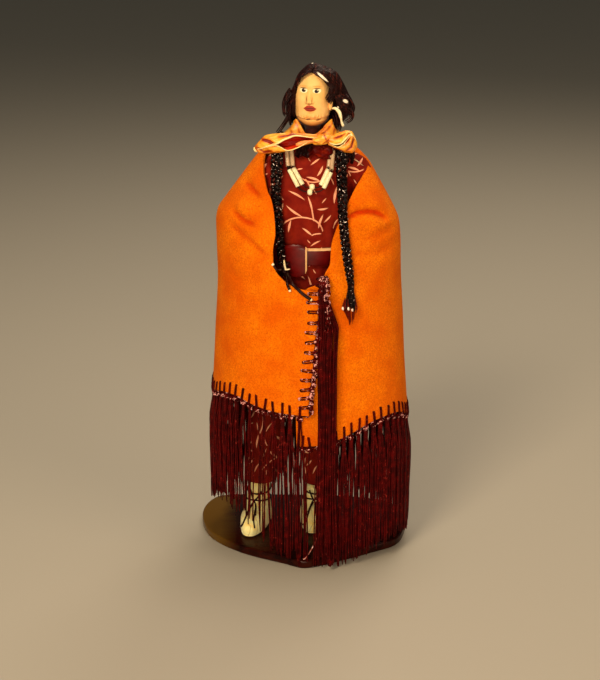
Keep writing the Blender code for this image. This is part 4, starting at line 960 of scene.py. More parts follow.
def make_edge_stitches():
    """The stitches down the left panel's front edge, each a loop, with the purl along the edge."""
    chance = random.Random(11)
    heights = [194.9, 189.2, 182.5, 175.0, 168.1, 161.8, 154.2, 148.6, 141.5, 135.1, 128.7, 122.6, 115.8]
    routes = []
    purl = []
    for height in heights:
        turn = panel_turn(LEFT_EDGE, height)
        edge = felt_point(turn, height)
        inside = felt_point(turn + 0.11, height)
        back = (inside - edge).normalized()
        out = Vector((-back.y, back.x, 0))
        if out.y > 0:
            out = -out
        long, tilt = chance.uniform(6.2, 7.6), chance.uniform(-0.9, 0.9)
        loop = []
        for reach, lift in ((-0.8, -0.2), (2.0, -0.75), (long - 0.8, -0.6), (long, 0.0),
                            (long - 0.8, 0.7), (2.0, 0.8), (-0.6, 0.5)):
            lean = Vector((0, 0, lift + tilt * reach / long))
            loop.append(edge + back * reach + out * (0.42 if 0 < reach < long else 0.1) + lean)
        routes.append(spun(loop, 3, 0.5))
        wrap = [edge + back * aside + out * ahead + Vector((0, 0, lift)) for aside, ahead, lift in
                ((0.8, 0.5, 0.9), (-0.75, -0.9, 1.4), (0.5, -2.2, 0.0), (-0.9, -0.9, -1.3), (0.8, 0.5, -0.9))]
        routes.append(spun(wrap, 3, 0.5))
        purl.append(edge - back * 0.9 + out * 0.5 + Vector((0, 0, 1.6)))
        purl.append(edge - back * 1.7 + out * 0.7 - Vector((0, 0, 0.6)))
        for knob, wide, tall, size in ((edge - back * 1.3 + out * 0.9, 1.2, 1.25, 0.85),
                                       (edge - back * 1.9 + out * 0.8 - Vector((0, 0, 3.3)), 1.0, 1.5, 0.7)):
            routes.append(spun(ring(knob, (wide, 0, 0), (0, -0.5, tall), 7, 0.9), 2, size, closed=True))
    low = felt_point(panel_turn(LEFT_EDGE, 109), 109)
    purl.append(low - Vector((-0.9, -0.4, 0)))
    high = felt_point(panel_turn(LEFT_EDGE, 196), 195.8)
    routes.append(spun([high + Vector((0.9, -0.6, 1.0))] + purl, 3, 0.62))
    return strands("edge_stitches", routes, 6)


def bundle_back(height):
    """How far in front of the axis the felt is under the front bundle."""
    return blanket_front(11.2, max(height, HEM_BASE)) + 2.8 * ease(height, 165, 190)


def make_bundle():
    """The long threads that hang from the knot at the top of the front edge, and the knot."""
    chance = random.Random(5)
    knot = Vector((8.6, -bundle_back(204) - 2.6, KNOT_HEIGHT))
    routes = []
    for i in range(56):
        across = (i % 8 - 3.5) / 3.5 + chance.uniform(-0.14, 0.14)
        deep = (i // 8) / 6
        phase, sway = chance.uniform(0, 6.28), chance.uniform(0.2, 0.7)
        foot = chance.uniform(3.0, 24.0) if across < 0.3 or i % 3 else chance.uniform(-1.0, 8.0)
        if chance.random() < 0.12:
            foot = chance.uniform(24, 60)
        stations = []
        for k in range(19):
            t = k / 18
            height = 204.5 + (foot - 204.5) * t
            middle = 8.8 + 3.0 * ease(204 - height, 8, 34)
            wide = 1.9 + 0.6 * ease(204 - height, 0, 4) + 2.7 * ease(204 - height, 12, 36) - bump(height - 195.5, 4)
            wide += 1.2 * ease(70 - height, 0, 70)
            swell = 1.5 * bump(height - 174, 13)
            flare = 2.2 * max(0.0, 1 - height / 60)
            wave = sway * sin(phase + 9 * t)
            x = middle + across * wide + swell * (0.6 + 0.4 * across) + wave
            y = -(bundle_back(height) + 1.3 + flare + deep * (3.9 + 0.8 * ease(204 - height, 20, 60)) + 0.3 * wave)
            stations.append((Vector((x, y, height)), 0.5, 0.5, None))
        routes.append(stations)
    curl = [(12.6, -52.4, 18.0), (13.4, -54.8, 9.0), (12.6, -56.0, 2.6), (13.4, -56.6, -0.4), (14.8, -56.8, -1.6),
            (15.4, -56.2, -0.4), (14.6, -55.6, 0.9)]
    for drift in (0.0, 0.9, 1.7):
        routes.append(spun([Vector(p) + Vector((drift, 0.5 * drift, drift)) for p in curl], 4, 0.55))
    wraps = []
    for off, height, tilt, size in ((0, 206.2, 0.5, 2.9), (0.4, 204.6, -0.5, 4.0), (0.9, 202.4, 0.5, 4.6),
                                    (1.4, 200.4, -0.3, 3.9), (0.2, 198.2, 0.3, 2.7), (0.7, 203.4, 1.2, 4.0)):
        loop = ring(knot + Vector((0, -0.5, height - KNOT_HEIGHT)), (0.92 * size, 0, 0.5 * tilt * size), (0, 1.9, 0),
                    10, pi / 5, off)
        wraps.append(spun(loop, 2, 0.85, closed=True))
    lead = spun([(8.6, knot.y - 2.4, 204), (4.4, knot.y - 2.0, 202.6), (0.6, knot.y - 0.6, 201.0),
                 (-1.6, knot.y, 201.2)], 5, 0.75)
    chain = []
    for i in range(9):
        height = 201.0 - 3.6 * i
        x = 12.0 + 0.9 * sin(i * 2.2) - 0.6 * bump(height - 196, 4)
        y = -(bundle_back(height) + 6.8)
        chain.append(spun(ring((x, y, height), (1.1, 0, 0), (0, -0.5, 2.4), 8, 0.785), 2, 0.55, closed=True))
    routes.append(lead)
    return strands("front_threads", routes, 6), strands("front_knot", wraps + chain, 7, closed=True)


# Body and clothes
def torso_point(u, v):
    """The shirt's body, from the tail up, with the folds that the belt draws together."""
    height = SHIRT_TAIL + SHIRT_HEIGHT * v
    half, front, back = along(TORSO, height)
    turn = 2 * pi * u
    x, y = round_outline(turn, half, half, front, back, TORSO_POWER)
    near_belt = bump(height - 230, 9) + bump(height - 203, 8)
    gather = 0.45 * near_belt * sin(26 * turn + 2 * rough((x, y, height), 12, 2))
    loose = 0.9 * rough((x, y, height * 0.6), 11, 1) - 0.4
    scale = 1 + (gather + loose) / hypot(x, y)
    if v > 0.985:
        scale = scale * (1 - (v - 0.985) / 0.015)
    return Vector((TORSO_X + x * scale, y * scale, height))


def torso_print(u, v):
    """Millimetres of cloth, with the print laid flat over the front and carried on round the sides."""
    turn = 2 * pi * (u if u < 0.5 else u - 1)
    reach = min(abs(turn), 1.2)
    flat = 29.5 * sin(reach) ** (2 / TORSO_POWER) + 27 * (abs(turn) - reach)
    return (TORSO_X - copysign(flat, turn), SHIRT_TAIL + SHIRT_HEIGHT * v)


def sleeve_of(name, arm, seed, shift):
    """A gathered sleeve along the arm."""
    line = through([(*point, radius) for point, radius in arm], 8)

    def shape(u, v):
        place = v * (len(line) - 1)
        k = min(int(place), len(line) - 2)
        here = line[k].lerp(line[k + 1], place - k)
        run = (Vector(line[k + 1][:3]) - Vector(line[k][:3])).normalized()
        side = run.cross(Vector((0, 1, 0.2))).normalized()
        over = run.cross(side)
        turn = 2 * pi * u
        point = Vector(here[:3])
        puff = 0.7 * rough((u * 9, v * 6, 0), 1.6, seed)
        pleat = 0.75 * sin(9 * turn + 3 * v) * (bump(v - 0.12, 0.16) + 0.5 * bump(v - 0.95, 0.1))
        radius = here[3] + puff + pleat
        if v < 0.02 or v > 0.98:
            radius *= ease(min(v, 1 - v), -0.0001, 0.02)
        return point + (side * cos(turn) + over * sin(turn)) * radius

    def spread(u, v):
        point = shape(u, min(max(v, 0.03), 0.97))
        return (point.x + shift[0], point.z + shift[1] + 0.3 * point.y)

    return weld(shaped_grid(name, 64, 72, shape, spread))


def make_shirt():
    cotton = printed_cotton()
    body = weld(shaped_grid("shirt_body", 168, 120, torso_point, torso_print))
    wear(body, "printed_cotton", cotton, stands_for=["shirt"])
    seam = through([(24.5, -9.5, 280.2), (27.5, -12.8, 278.9), (31.1, -15.0, 277.0), (34.6, -14.8, 274.2),
                    (37.0, -13.4, 271.8)], 5)
    routes = [[(Vector(p), 0.15 + 0.25 * sin(pi * k / (len(seam) - 1)), 0.25, None) for k, p in enumerate(seam)]]
    wear(strands("shoulder_seam", routes, 6), "printed_cotton",
         silk_thread("pale_seam_thread", "#E8A070", "#FFD8A8", "#FFF0D0", 0.4))
    for name, arm, seed, shift in (("sleeve_left", SLEEVE_LEFT, 1.0, (37.0, 3.0)),
                                   ("sleeve_right", SLEEVE_RIGHT, 2.0, (-27.0, 0.0))):
        wear(sleeve_of(name, arm, seed, shift), "printed_cotton", cotton)
    return cotton


def leg_of(name, leg, seed):
    """A trouser leg with soft folds, its cuff turned under."""
    def shape(u, v):
        turn = 2 * pi * u
        height = 33 + 90 * max(0.0, (v - 0.05) / 0.95)
        x, y, radius = along(leg, min(height, 120))
        fold = 0.9 * rough((cos(turn) * 9, sin(turn) * 9, height * 0.5), 7, seed)
        fold += 0.5 * sin(height / 4.5 + 2 * sin(turn + seed)) * bump(height - 55, 16)
        reach = radius + fold - 0.6
        if v < 0.05:
            reach -= 1.2 * (1 - v / 0.05)
            height += 2.0 * (1 - v / 0.05)
        return Vector((x + reach * cos(turn), y + reach * sin(turn), height))

    return weld(shaped_grid(name, 64, 70, shape, lambda u, v: (u * 82, v * 82)))


def seat_point(u, v):
    height = 104.5 + 75.5 * v
    half, front, back = along(PELVIS, height)
    turn = 2 * pi * u
    x, y = round_outline(turn, half, half, front, back, 2.2)
    scale = 1 + 0.7 * rough((x, y, height), 14, 5) / hypot(x, y)
    if v < 0.03 or v > 0.97:
        scale *= ease(min(v, 1 - v), -0.0001, 0.03)
    return Vector((TORSO_X + x * scale, y * scale, height))


def make_trousers(cotton):
    seat = weld(shaped_grid("trouser_seat", 64, 40, seat_point, lambda u, v: (u * 180, v * 76)))
    wear(seat, "printed_cotton", cotton, stands_for=["trousers"])
    for name, leg, seed in (("trouser_leg_left", LEG_LEFT, 1.0), ("trouser_leg_right", LEG_RIGHT, 4.0)):
        cloth = with_modifier(leg_of(name, leg, seed), "SOLIDIFY", thickness=0.0007, offset=-1)
        wear(cloth, "printed_cotton", cotton)


def make_belt():
    """One polished strap whose wide end laps over its start at the left of the front."""
    half, front, back = waist_reach()
    start, end = radians(22), radians(-357)
    columns, rows = 260, 24

    def shape(u, v):
        turn = start + (end - start) * u
        inner = (BELT_THICK + BELT_GAP) * min(max((u - 0.80) / 0.10, 0.0), 1.0)
        wide = min(max((u - 0.86) / 0.10, 0.0), 1.0)
        corner = max(0.0, (u - 0.975) / 0.025)
        cut = 1 - sqrt(max(0.0, 1 - corner ** 2))
        foot, top = 208.0 - 7.6 * wide + 5.0 * cut, 219.6 + 3.0 * wide - 2.0 * cut
        out = inner + BELT_THICK + 0.15 * cos((v - 0.5) * pi) - 1.7 * ease(v, 0.9, 1.0) * (1 - 0.6 * wide)
        x, y = round_outline(turn, half + out, half + out, front + out, back + out, TORSO_POWER)
        return Vector((TORSO_X + x, y, foot + (top - foot) * v))

    belt = shaped_grid("belt_strap", columns, rows, shape)
    cut_from = spot((0, 0, 217.4)).z
    belt.data.materials.append(smooth_leather("polished_belt_leather", "#420102", "#680604", 0.3))
    belt.data.materials.append(smooth_leather("cut_belt_edge", "#D89858", "#F6CC94", 0.6))
    for number, face in enumerate(belt.data.polygons):
        u = (number % columns + 0.5) / columns
        if (face.center.z > cut_from and u < 0.87 and number // columns > 20) or u > 0.995:
            face.material_index = 1
    face_out(belt, (TORSO_X, 0, 216))
    with_modifier(belt, "SOLIDIFY", thickness=BELT_THICK * MM, offset=-1)
    with_modifier(belt, "BEVEL", width=0.0003, segments=2, limit_method="ANGLE", angle_limit=radians(50))
    wear(belt, "belt_leather", stands_for=["belt"])


def placed_on_foot(ankle, turn, x, y, height):
    """A point of a boot. The feet stand a little forward of the ankles."""
    step = 1 - ease(height, 8, 36)
    ahead = (-1.5, -7.0) if ankle[0] < 0 else (-2.0, 1.0)
    return Vector((ankle[0] + x * cos(turn) + y * sin(turn) + ahead[0] * step,
                   ankle[1] + y * cos(turn) - x * sin(turn) + ahead[1] * step, height))


def boot_of(name, ankle, turn, seed, hide):
    """A soft boot with a gathered toe, a sewn-on sole and wrinkles at the ankle."""
    def shape(u, v):
        height = 0.3 + 40.3 * v ** 1.25
        half, toe, heel = along(MOCCASIN, height)
        angle = 2 * pi * u
        x, y = round_outline(angle, half, half, toe, heel, 2.2)
        gather = 0.28 * sin(30 * angle) * bump(height - 10.5, 2.0) * ease(-y, 6, 16)
        wrinkle = 0.45 * sin(height / 1.6 + 1.5 * sin(angle + seed)) * bump(height - 22, 8)
        sole = -0.5 * bump(height - 2.6, 0.5)
        scale = 1 + (gather + wrinkle + sole + 0.4 * rough((x, y, height), 6, seed)) / max(hypot(x, y), 1)
        x, y = x * scale, y * scale
        if v < 0.004:
            x, y = 0, 0
        return placed_on_foot(ankle, turn, x, y, height)

    boot = edit(shaped_grid(name, 80, 64, shape), (bpy.ops.mesh.remove_doubles, {"threshold": 0.00002}),
                (bpy.ops.mesh.fill_holes, {"sides": 0}), (bpy.ops.mesh.normals_make_consistent, {"inside": False}))
    return wear(boot, "hide", hide, stands_for=[name.replace("boot", "moccasin")])


def on_boot(ankle, turn, angle, height, out):
    """A point just off a boot's side."""
    half, toe, heel = along(MOCCASIN, height)
    x, y = round_outline(radians(angle), half + out, half + out, toe + out, heel + out, 2.2)
    return placed_on_foot(ankle, turn, x, y, height)


def make_boots():
    hide = soft_hide()
    thong = smooth_leather("dark_thong", "#1A0605", "#300C08", 0.4)
    routes = []
    for name, ankle, turn, seed in (("boot_left", (-36.0, 17.0), radians(14), 1.0),
                                    ("boot_right", (6.5, 14.5), radians(5), 2.0)):
        boot_of(name, ankle, turn, seed, hide)
        for height, tilt in ((19.5, 1.2), (26.0, -1.4)):
            loop = [on_boot(ankle, turn, 30 * i, height + tilt * cos(radians(30 * i)), 0.7) for i in range(12)]
            routes.append(spun(loop + loop[:1], 3, 0.6))
        for size, stations in (
            (0.6, ((-28, 27, 0.9), (-12, 23, 0.9), (8, 19, 0.9), (16, 14, 0.9), (22, 9.5, 0.9), (40, 6, 0.9))),
            (0.6, ((30, 27, 0.9), (12, 22, 0.9), (-6, 18, 0.9), (-14, 13, 0.9), (-24, 8, 0.9))),
            (0.65, ((-4, 19, 1.0), (-10, 17.0, 3.0), (-16, 14.6, 2.0))),
            (0.65, ((4, 19, 1.0), (10, 17.0, 3.0), (16, 14.6, 2.0))),
        ):
            routes.append(spun([on_boot(ankle, turn, *station) for station in stations], 4, size))
    wear(strands("boot_thongs", routes, 6), "thong", thong)
    return thong


# Head and hair
def face_relief(turn, x, height):
    """How far the features stand out of the plain head."""
    out = 0.0
    if cos(turn) > 0:
        ridge = min(max(1 - (height - 315.2) / 8.2, 0.0), 1.0)
        out += 2.3 * bump(x + 0.5, 1.1 + 0.8 * ridge) * ridge ** 0.8 * bump(max(0.0, 315.2 - height), 1.1)
        out += 0.5 * (bump(x - 1.3, 0.9) + bump(x + 2.3, 0.9)) * bump(height - 315.0, 1.0)
        out += 0.55 * bump(x, 7.0) * bump(height - 325.8, 1.8)
        out += 0.55 * bump(x, 3.6) * (bump(height - 312.2, 0.8) + bump(height - 310.3, 0.9))
        out += 0.6 * (bump(x - 6.4, 3.0) + bump(x + 6.4, 3.0)) * bump(height - 316.5, 3.4)
        out += 0.5 * bump(x, 3.5) * bump(height - 306.2, 1.8)
        for eye in (-4.2, 4.5):
            out -= 0.55 * bump(x - eye, 2.4) * bump(height - 322.6, 1.7)
    seam = 304.6 - 0.9 * cos(turn) + 0.8 * rough((x, turn * 8, 0), 2.2, 4)
    out -= 1.0 * bump(height - seam, 0.8)
    if height < 305.5 and cos(turn) > -0.2:
        low = min((305.5 - height) / 7.0, 0.98)
        out -= 3.8 * (1 - sqrt(1 - low * low)) * abs(sin(turn)) ** 1.3 * (1 if height > 298 else 0.9)
    out += 0.35 * bump(height - seam - 1.6, 1.2) * sin(x * 3.1 + sin(x))
    return out


def head_point(u, v):
    height = 290.9 + 46.3 * v
    half, front, back = along(HEAD, height)
    lean = 1.6 * ease(height, 322, 335)
    even = 2 * pi * u
    turn = even - 0.42 * sin(even)
    x, y = round_outline(turn, half, half, front, back, 2.15)
    reach = max(hypot(x, y), 0.01)
    relief = face_relief(turn, x, height) if reach > 2 else 0.0
    if v < 0.01:
        x, y = 0, 0
    x, y = x * (1 + relief / reach), y * (1 + relief / reach)
    return Vector((NECK_X + lean + x * cos(FACE_TURN) + y * sin(FACE_TURN),
                   y * cos(FACE_TURN) - x * sin(FACE_TURN), height))


def make_head():
    skin = painted_cloth()
    head = weld(shaped_grid("stuffed_head", 144, 130, head_point))
    wear(head, "painted_skin", skin, stands_for=["head"])
    for name, x, y, lean in (("ear_left", -9.0, -2.4, 0.3), ("ear_right", 14.0, -5.6, -0.3)):
        ear = begin(name, bpy.ops.mesh.primitive_uv_sphere_add, segments=24, ring_count=16, radius=1)
        for vert in ear.data.vertices:
            p = vert.co.copy()
            hollow = 0.5 * bump(p.y + 0.35, 0.45) * bump(p.z - 0.1, 0.5) * (1 if p.x * lean < 0 else 0)
            wide = 1.5 * (1 - hollow) * (1 + 0.2 * p.z)
            vert.co = spot((x + wide * p.x - lean * p.z, y + 1.6 * p.y - 0.4 * p.z, 311.9 + 3.4 * p.z))
        wear(ear, "painted_skin", skin)


HAIR_LEFT = [
    [(1.2, -10.9, 336.2), (-2.6, -10.4, 335.0), (-6.4, -9.4, 331.0), (-9.2, -7.0, 325.0), (-11.0, -3.2, 318.0),
     (-12.2, -2.0, 311.0), (-13.2, -2.0, 302.5)],
    [(0.6, -7.0, 338.6), (-4.4, -6.6, 336.2), (-8.2, -5.0, 330.6), (-10.8, -3.0, 324.4), (-13.4, -1.8, 317.4),
     (-15.2, -1.4, 310.0), (-15.0, -1.2, 301.0)],
    [(0.6, -1.0, 339.8), (-5.4, -0.5, 336.6), (-9.0, 1.0, 330.6), (-11.6, 2.0, 324.0), (-14.2, 2.6, 317.0),
     (-15.8, 2.6, 309.6), (-15.4, 2.6, 299.5)],
    [(1.0, 5.0, 339.4), (-4.2, 7.0, 336.0), (-7.6, 9.6, 330.0), (-10.0, 11.2, 323.4), (-12.0, 12.4, 316.6),
     (-13.4, 12.8, 309.0), (-13.2, 12.4, 299.0)],
    [(2.0, 8.0, 339.0), (1.2, 12.0, 335.4), (1.2, 15.0, 329.6), (1.4, 17.0, 323.0), (1.6, 18.2, 316.4),
     (2.0, 18.8, 308.6), (2.0, 17.8, 299.0)],
]
HAIR_RIGHT = [
    [(1.8, -11.0, 336.6), (5.2, -12.0, 334.4), (8.8, -11.8, 331.0), (12.2, -10.4, 327.0), (14.6, -10.4, 323.4),
     (12.8, -10.8, 319.8), (11.8, -10.8, 316.8)],
    [(2.4, -8.4, 338.8), (7.4, -9.2, 337.0), (12.2, -9.0, 333.0), (15.8, -8.0, 328.0), (18.4, -6.6, 322.4),
     (20.2, -5.2, 316.6), (20.8, -4.0, 311.0)],
    [(2.8, -3.0, 340.2), (9.0, -3.4, 337.8), (14.4, -3.2, 333.0), (18.2, -2.6, 327.0), (22.4, -2.2, 320.4),
     (25.6, -2.0, 312.6), (24.8, -2.0, 303.6)],
    [(3.0, 2.0, 340.4), (9.6, 2.0, 338.0), (15.0, 2.4, 333.0), (19.0, 3.0, 326.6), (24.0, 3.0, 319.6),
     (28.6, 3.0, 311.0), (26.4, 3.0, 301.6)],
    [(2.8, 6.0, 339.6), (8.6, 8.0, 336.6), (13.0, 10.0, 331.0), (16.6, 11.6, 324.6), (20.0, 12.6, 317.6),
     (21.8, 12.8, 309.4), (20.6, 12.2, 299.0)],
    [(2.0, 8.0, 339.0), (2.4, 12.0, 335.4), (2.4, 15.0, 329.6), (2.5, 17.0, 323.0), (2.5, 18.2, 316.4),
     (2.5, 18.8, 308.6), (2.0, 17.8, 299.0)],
]
# The hair's own reach from the head's axis, and where the face shows, both by height
HAIR_REACH = [
    (298, 15.5, 17.5, 6.0, 17.0), (305, 17.2, 24.5, 8.0, 18.0), (311, 17.2, 26.4, 9.5, 18.2),
    (317, 14.6, 24.2, 10.6, 17.8),
    (323, 11.8, 19.4, 11.4, 16.8), (330, 9.9, 14.6, 10.6, 15.4), (335.2, 6.4, 10.0, 8.6, 12.2),
    (338.0, 3.0, 5.4, 4.8, 6.6),
    (339.2, 0.3, 0.3, 0.3, 0.3),
]
FACE_EDGES = [
    (298, -12.6, 20.0), (311, -12.4, 18.5), (316, -11.4, 17.2), (318.5, -11.0, 13.4), (322.6, -10.0, 14.0),
    (328.2, -8.4, 10.0), (331.5, -6.0, 7.0), (335.0, -1.0, 2.6), (336.0, 1.4, 1.6),
]


def hair_base_point(u, v):
    """The dark mass under the locks, open at the face."""
    height = 298 + 41.2 * v ** 0.8
    left, right, front, back = along(HAIR_REACH, height)
    turns = []
    for edge in along(FACE_EDGES, height):
        reach = left if edge < NECK_X else right
        turn = asin(min(abs(edge - NECK_X) / reach, 1.0) ** 1.1)
        turns.append(turn if edge < NECK_X else -turn)
    turn = turns[0] + (2 * pi + turns[1] - turns[0]) * u
    x, y = round_outline(turn, left, right, front, back, 2.2)
    return Vector((NECK_X + x, y, height))


def lock_route(guides, place, chance, wide, thick, lift, cut):
    """One combed lock between two guides, as stations that taper to its end."""
    k = min(int(place), len(guides) - 2)
    share = place - k
    points = []
    for a, b in zip(guides[k], guides[k + 1]):
        point = Vector(a).lerp(Vector(b), share)
        inner = min(place, 1.0)
        if guides is HAIR_LEFT:
            point.x += (1.0 + 1.2 * ease(point.z, 314, 322)) * inner
        else:
            point.x += 1.5 * inner * ease(point.z, 318, 325) * (1 - ease(point.z, 334, 339))
        point.z -= 2.4 * ease(point.z, 330, 339)
        points.append(point)
    line = through(points, 6)
    phase, wave = chance.uniform(0, 6.28), chance.uniform(0.1, 0.7)
    line = line[:max(8, int(len(line) * cut))]
    if guides is HAIR_RIGHT and place < 0.95:
        line = [point for point in line if point.z > 316.4]
    stations = []
    for i, point in enumerate(line):
        t = i / (len(line) - 1)
        out = Vector((point.x - NECK_X, point.y, (point.z - 322) * 0.8)).normalized()
        run = (line[min(i + 1, len(line) - 1)] - line[max(i - 1, 0)]).normalized()
        aside = run.cross(out)
        place_here = point + out * lift + aside * wave * sin(phase + 5 * t) * ease(t, 0.1, 0.5)
        taper = (0.45 + 0.55 * ease(t, 0, 0.2)) * (1 - 0.7 * ease(t, 0.82, 1.0))
        stations.append((place_here, wide * taper, thick * taper, out))
    return stations


def make_hair():
    # Where the hair's painted highlights lie: middle, tilt and half sizes.
    gleams = [((8.4, 331.6), -41, (5.2, 0.9)), ((23.8, 314.8), -32, (2.2, 1.2)), ((27.0, 319.0), -30, (0.9, 0.6)),
              ((6.8, 339.0), -10, (1.6, 0.6)), ((1.9, 339.3), 10, (1.0, 0.5)), ((18.8, 311.2), -35, (0.9, 0.5))]
    hair = combed_hair("combed_hair", "#0A0202", "#3E0C06", gleams)
    base = shaped_grid("hair_base", 110, 60, hair_base_point, lambda u, v: (u * 30, v * 45))
    face_out(base, (NECK_X, 0, 318))
    with_modifier(base, "SOLIDIFY", thickness=0.0008, offset=-1)
    wear(base, "dark_hair", hair, stands_for=["hair"])
    chance = random.Random(3)
    routes = []
    for guides, count in ((HAIR_LEFT, 30), (HAIR_RIGHT, 38)):
        for i in range(count):
            place = i / (count - 1) * (len(guides) - 1)
            routes.append(lock_route(guides, place, chance, 1.5, 0.85, 0.3, chance.uniform(0.9, 1.0)))
        for i in range(count):
            place = chance.uniform(0.05, 0.97) * (len(guides) - 1)
            routes.append(lock_route(guides, place, chance, 0.6, 0.4, 1.0, chance.uniform(0.55, 1.0)))
    curls = [
        [(-11.6, -4, 319.5), (-14.4, -4.6, 316.6), (-17.0, -4.6, 312.5), (-16.8, -5, 307.6), (-14.4, -5.2, 305.6),
         (-12.8, -5.2, 308.4), (-13.4, -5, 312.4)],
        [(-12.4, -3, 322), (-15.4, -3, 317.6), (-17.4, -2, 311.6), (-17.0, -2, 304.5)],
        [(-12.6, -4, 307), (-15.4, -5, 302), (-18.6, -7, 297.5), (-21.6, -8, 293.8)],
        [(22.0, -4, 318.6), (26.4, -4, 316.0), (29.2, -3, 311.0), (27.6, -4, 306.5), (24.8, -5, 307.5),
         (25.0, -5, 311.5)],
        [(24.4, -4, 311), (28.6, -3.6, 307), (27.6, -3.4, 302.5), (24.4, -4.0, 300.5)],
        [(19.0, -7.2, 314), (21.4, -7, 310), (22.4, -6, 305), (20.6, -6.2, 300.5), (18.6, -6.6, 301.5)],
        [(14.8, -10.6, 324), (13.6, -11.2, 321), (12.2, -11.4, 318.6), (10.9, -11.3, 316.4)],
        [(15.6, -10.0, 322), (14.2, -10.8, 319), (12.8, -11.2, 317), (11.6, -11.2, 315.2)],
        [(16.4, -9.6, 321), (15.0, -10.2, 318), (13.8, -10.8, 315.8), (12.8, -11, 314.2)],
        [(-9.4, -8.6, 324.5), (-10.2, -7.6, 319.5), (-10.5, -7.0, 314), (-10.6, -6.6, 309), (-10.9, -6, 305)],
        [(17.8, -2, 306), (18.8, -2.2, 302), (18.9, -2.4, 298.5), (18.0, -2.6, 295.5)],
        [(20.2, -2, 305), (20.8, -2.2, 301.5), (20.6, -2.4, 298), (19.6, -2.6, 295)],
        [(16.4, -2, 304), (17.0, -2.2, 301), (17.2, -2.4, 297.6), (16.8, -2.6, 295)],
    ]
    for curl in curls:
        for drift in ((0, 0, 0), (0.7, 0.9, -0.8), (-0.6, 0.5, 0.9)):
            line = through([Vector(p) + Vector(drift) for p in curl], 5)
            last = len(line) - 1
            routes.append([(p, 0.75 * (1 - 0.6 * i / last), 0.6 * (1 - 0.6 * i / last), None)
                           for i, p in enumerate(line)])
    loose = [(22.4 + 0.26 * k, 291 - 0.15 * k, 0.8 + 0.22 * k) for k in range(14)]
    loose += [(-13.6, 289.5, -0.6), (-12.6, 289, -1.0), (-13.0, 288, -0.2)]
    for i, (x, height, aside) in enumerate(loose):
        line = []
        for k in range(9):
            t = k / 8
            place = x + aside * sin(2.3 * t) + 0.4 * sin(i + 5 * t)
            low = height - (12.4 + 1.6 * sin(3 * i) if x > 0 else 19) * t
            y = min(-torso_front(place, min(low, CHEST_TOP)) - 1.6, (2.0 * t - 19.0) if x > 0 else 0.0)
            line.append((Vector((place, y - 0.3 * (i % 3), low)), 1.3 - 0.8 * t, 0.9 - 0.5 * t, None))
        routes.append(line)
    wear(strands("hair_locks", routes, 8), "dark_hair", hair)


def braid_line(top, hanging):
    """The braid's middle line with its radius, resting on the chest, the belt or the felt."""
    stations = [(Vector((x, y, z)), share * BRAID_RADIUS) for x, y, z, share in through(top, 3)]
    for x, height, share in through(hanging, 8):
        radius = share * BRAID_RADIUS
        out = torso_front(x, min(height, 267))
        if height < 238:
            out = max(out, belt_front(x))
        if x > 0:
            over = min(max((268 - height) / 15, 0.0), 1.0)
            out = out + max(0.0, blanket_front(x, height) - out) * over
        stations.append((Vector((x, -out - radius - 0.6, height)), radius))
    return stations


def braid_of(name, top, hanging, loose_below, seed, hair, stands_for):
    """Three locks plaited over each other, each of three finer ones, and a loose end below."""
    chance = random.Random(seed)
    middle = braid_line(top, hanging)
    fine = []
    for a, b in zip(middle, middle[1:]):
        steps = max(2, int((b[0] - a[0]).length / 0.55))
        for i in range(steps):
            t = i / steps
            fine.append((a[0].lerp(b[0], t), a[1] + (b[1] - a[1]) * t))
    runs = [0.0]
    for a, b in zip(fine, fine[1:]):
        runs.append(runs[-1] + (b[0] - a[0]).length)
    routes = []
    for lock in range(3):
        for part in range(3):
            stations = []
            for i, (point, radius) in enumerate(fine):
                if point.z < loose_below:
                    break
                ahead = (fine[min(i + 1, len(fine) - 1)][0] - fine[max(i - 1, 0)][0]).normalized()
                side = ahead.cross(Vector((0, -1, 0.001))).normalized()
                out = side.cross(ahead)
                phase = 2 * pi * (runs[i] / 10.5 + lock / 3)
                across = radius * 0.56 * sin(phase)
                over = radius * 0.42 * sin(2 * phase)
                spin = 2 * pi * part / 3 + 0.9 * phase
                across += radius * 0.20 * cos(spin)
                over += radius * 0.20 * sin(spin)
                stations.append((point + side * across + out * over, radius * 0.30, radius * 0.30, None))
            routes.append(stations)
    if loose_below > 0:
        loose = [(p, r) for p, r in fine if p.z < loose_below + 6]
        for i in range(46):
            turn, reach = chance.uniform(0, 6.28), sqrt(chance.random())
            cut = int(len(loose) * chance.uniform(0.55, 0.72))
            phase = chance.uniform(0, 6.28)
            stations = []
            for k, (point, radius) in enumerate(loose[:cut:2]):
                spread = reach * radius * 0.9
                wave = 0.25 * sin(phase + k * 0.35)
                stations.append((point + Vector((spread * cos(turn) + wave, spread * sin(turn) * 0.8, 0)),
                                 0.34, 0.34, None))
            routes.append(stations)
    braid = strands(name, [r for r in routes if len(r) > 3], 6)
    return wear(braid, "dark_hair", hair, stands_for=[stands_for])


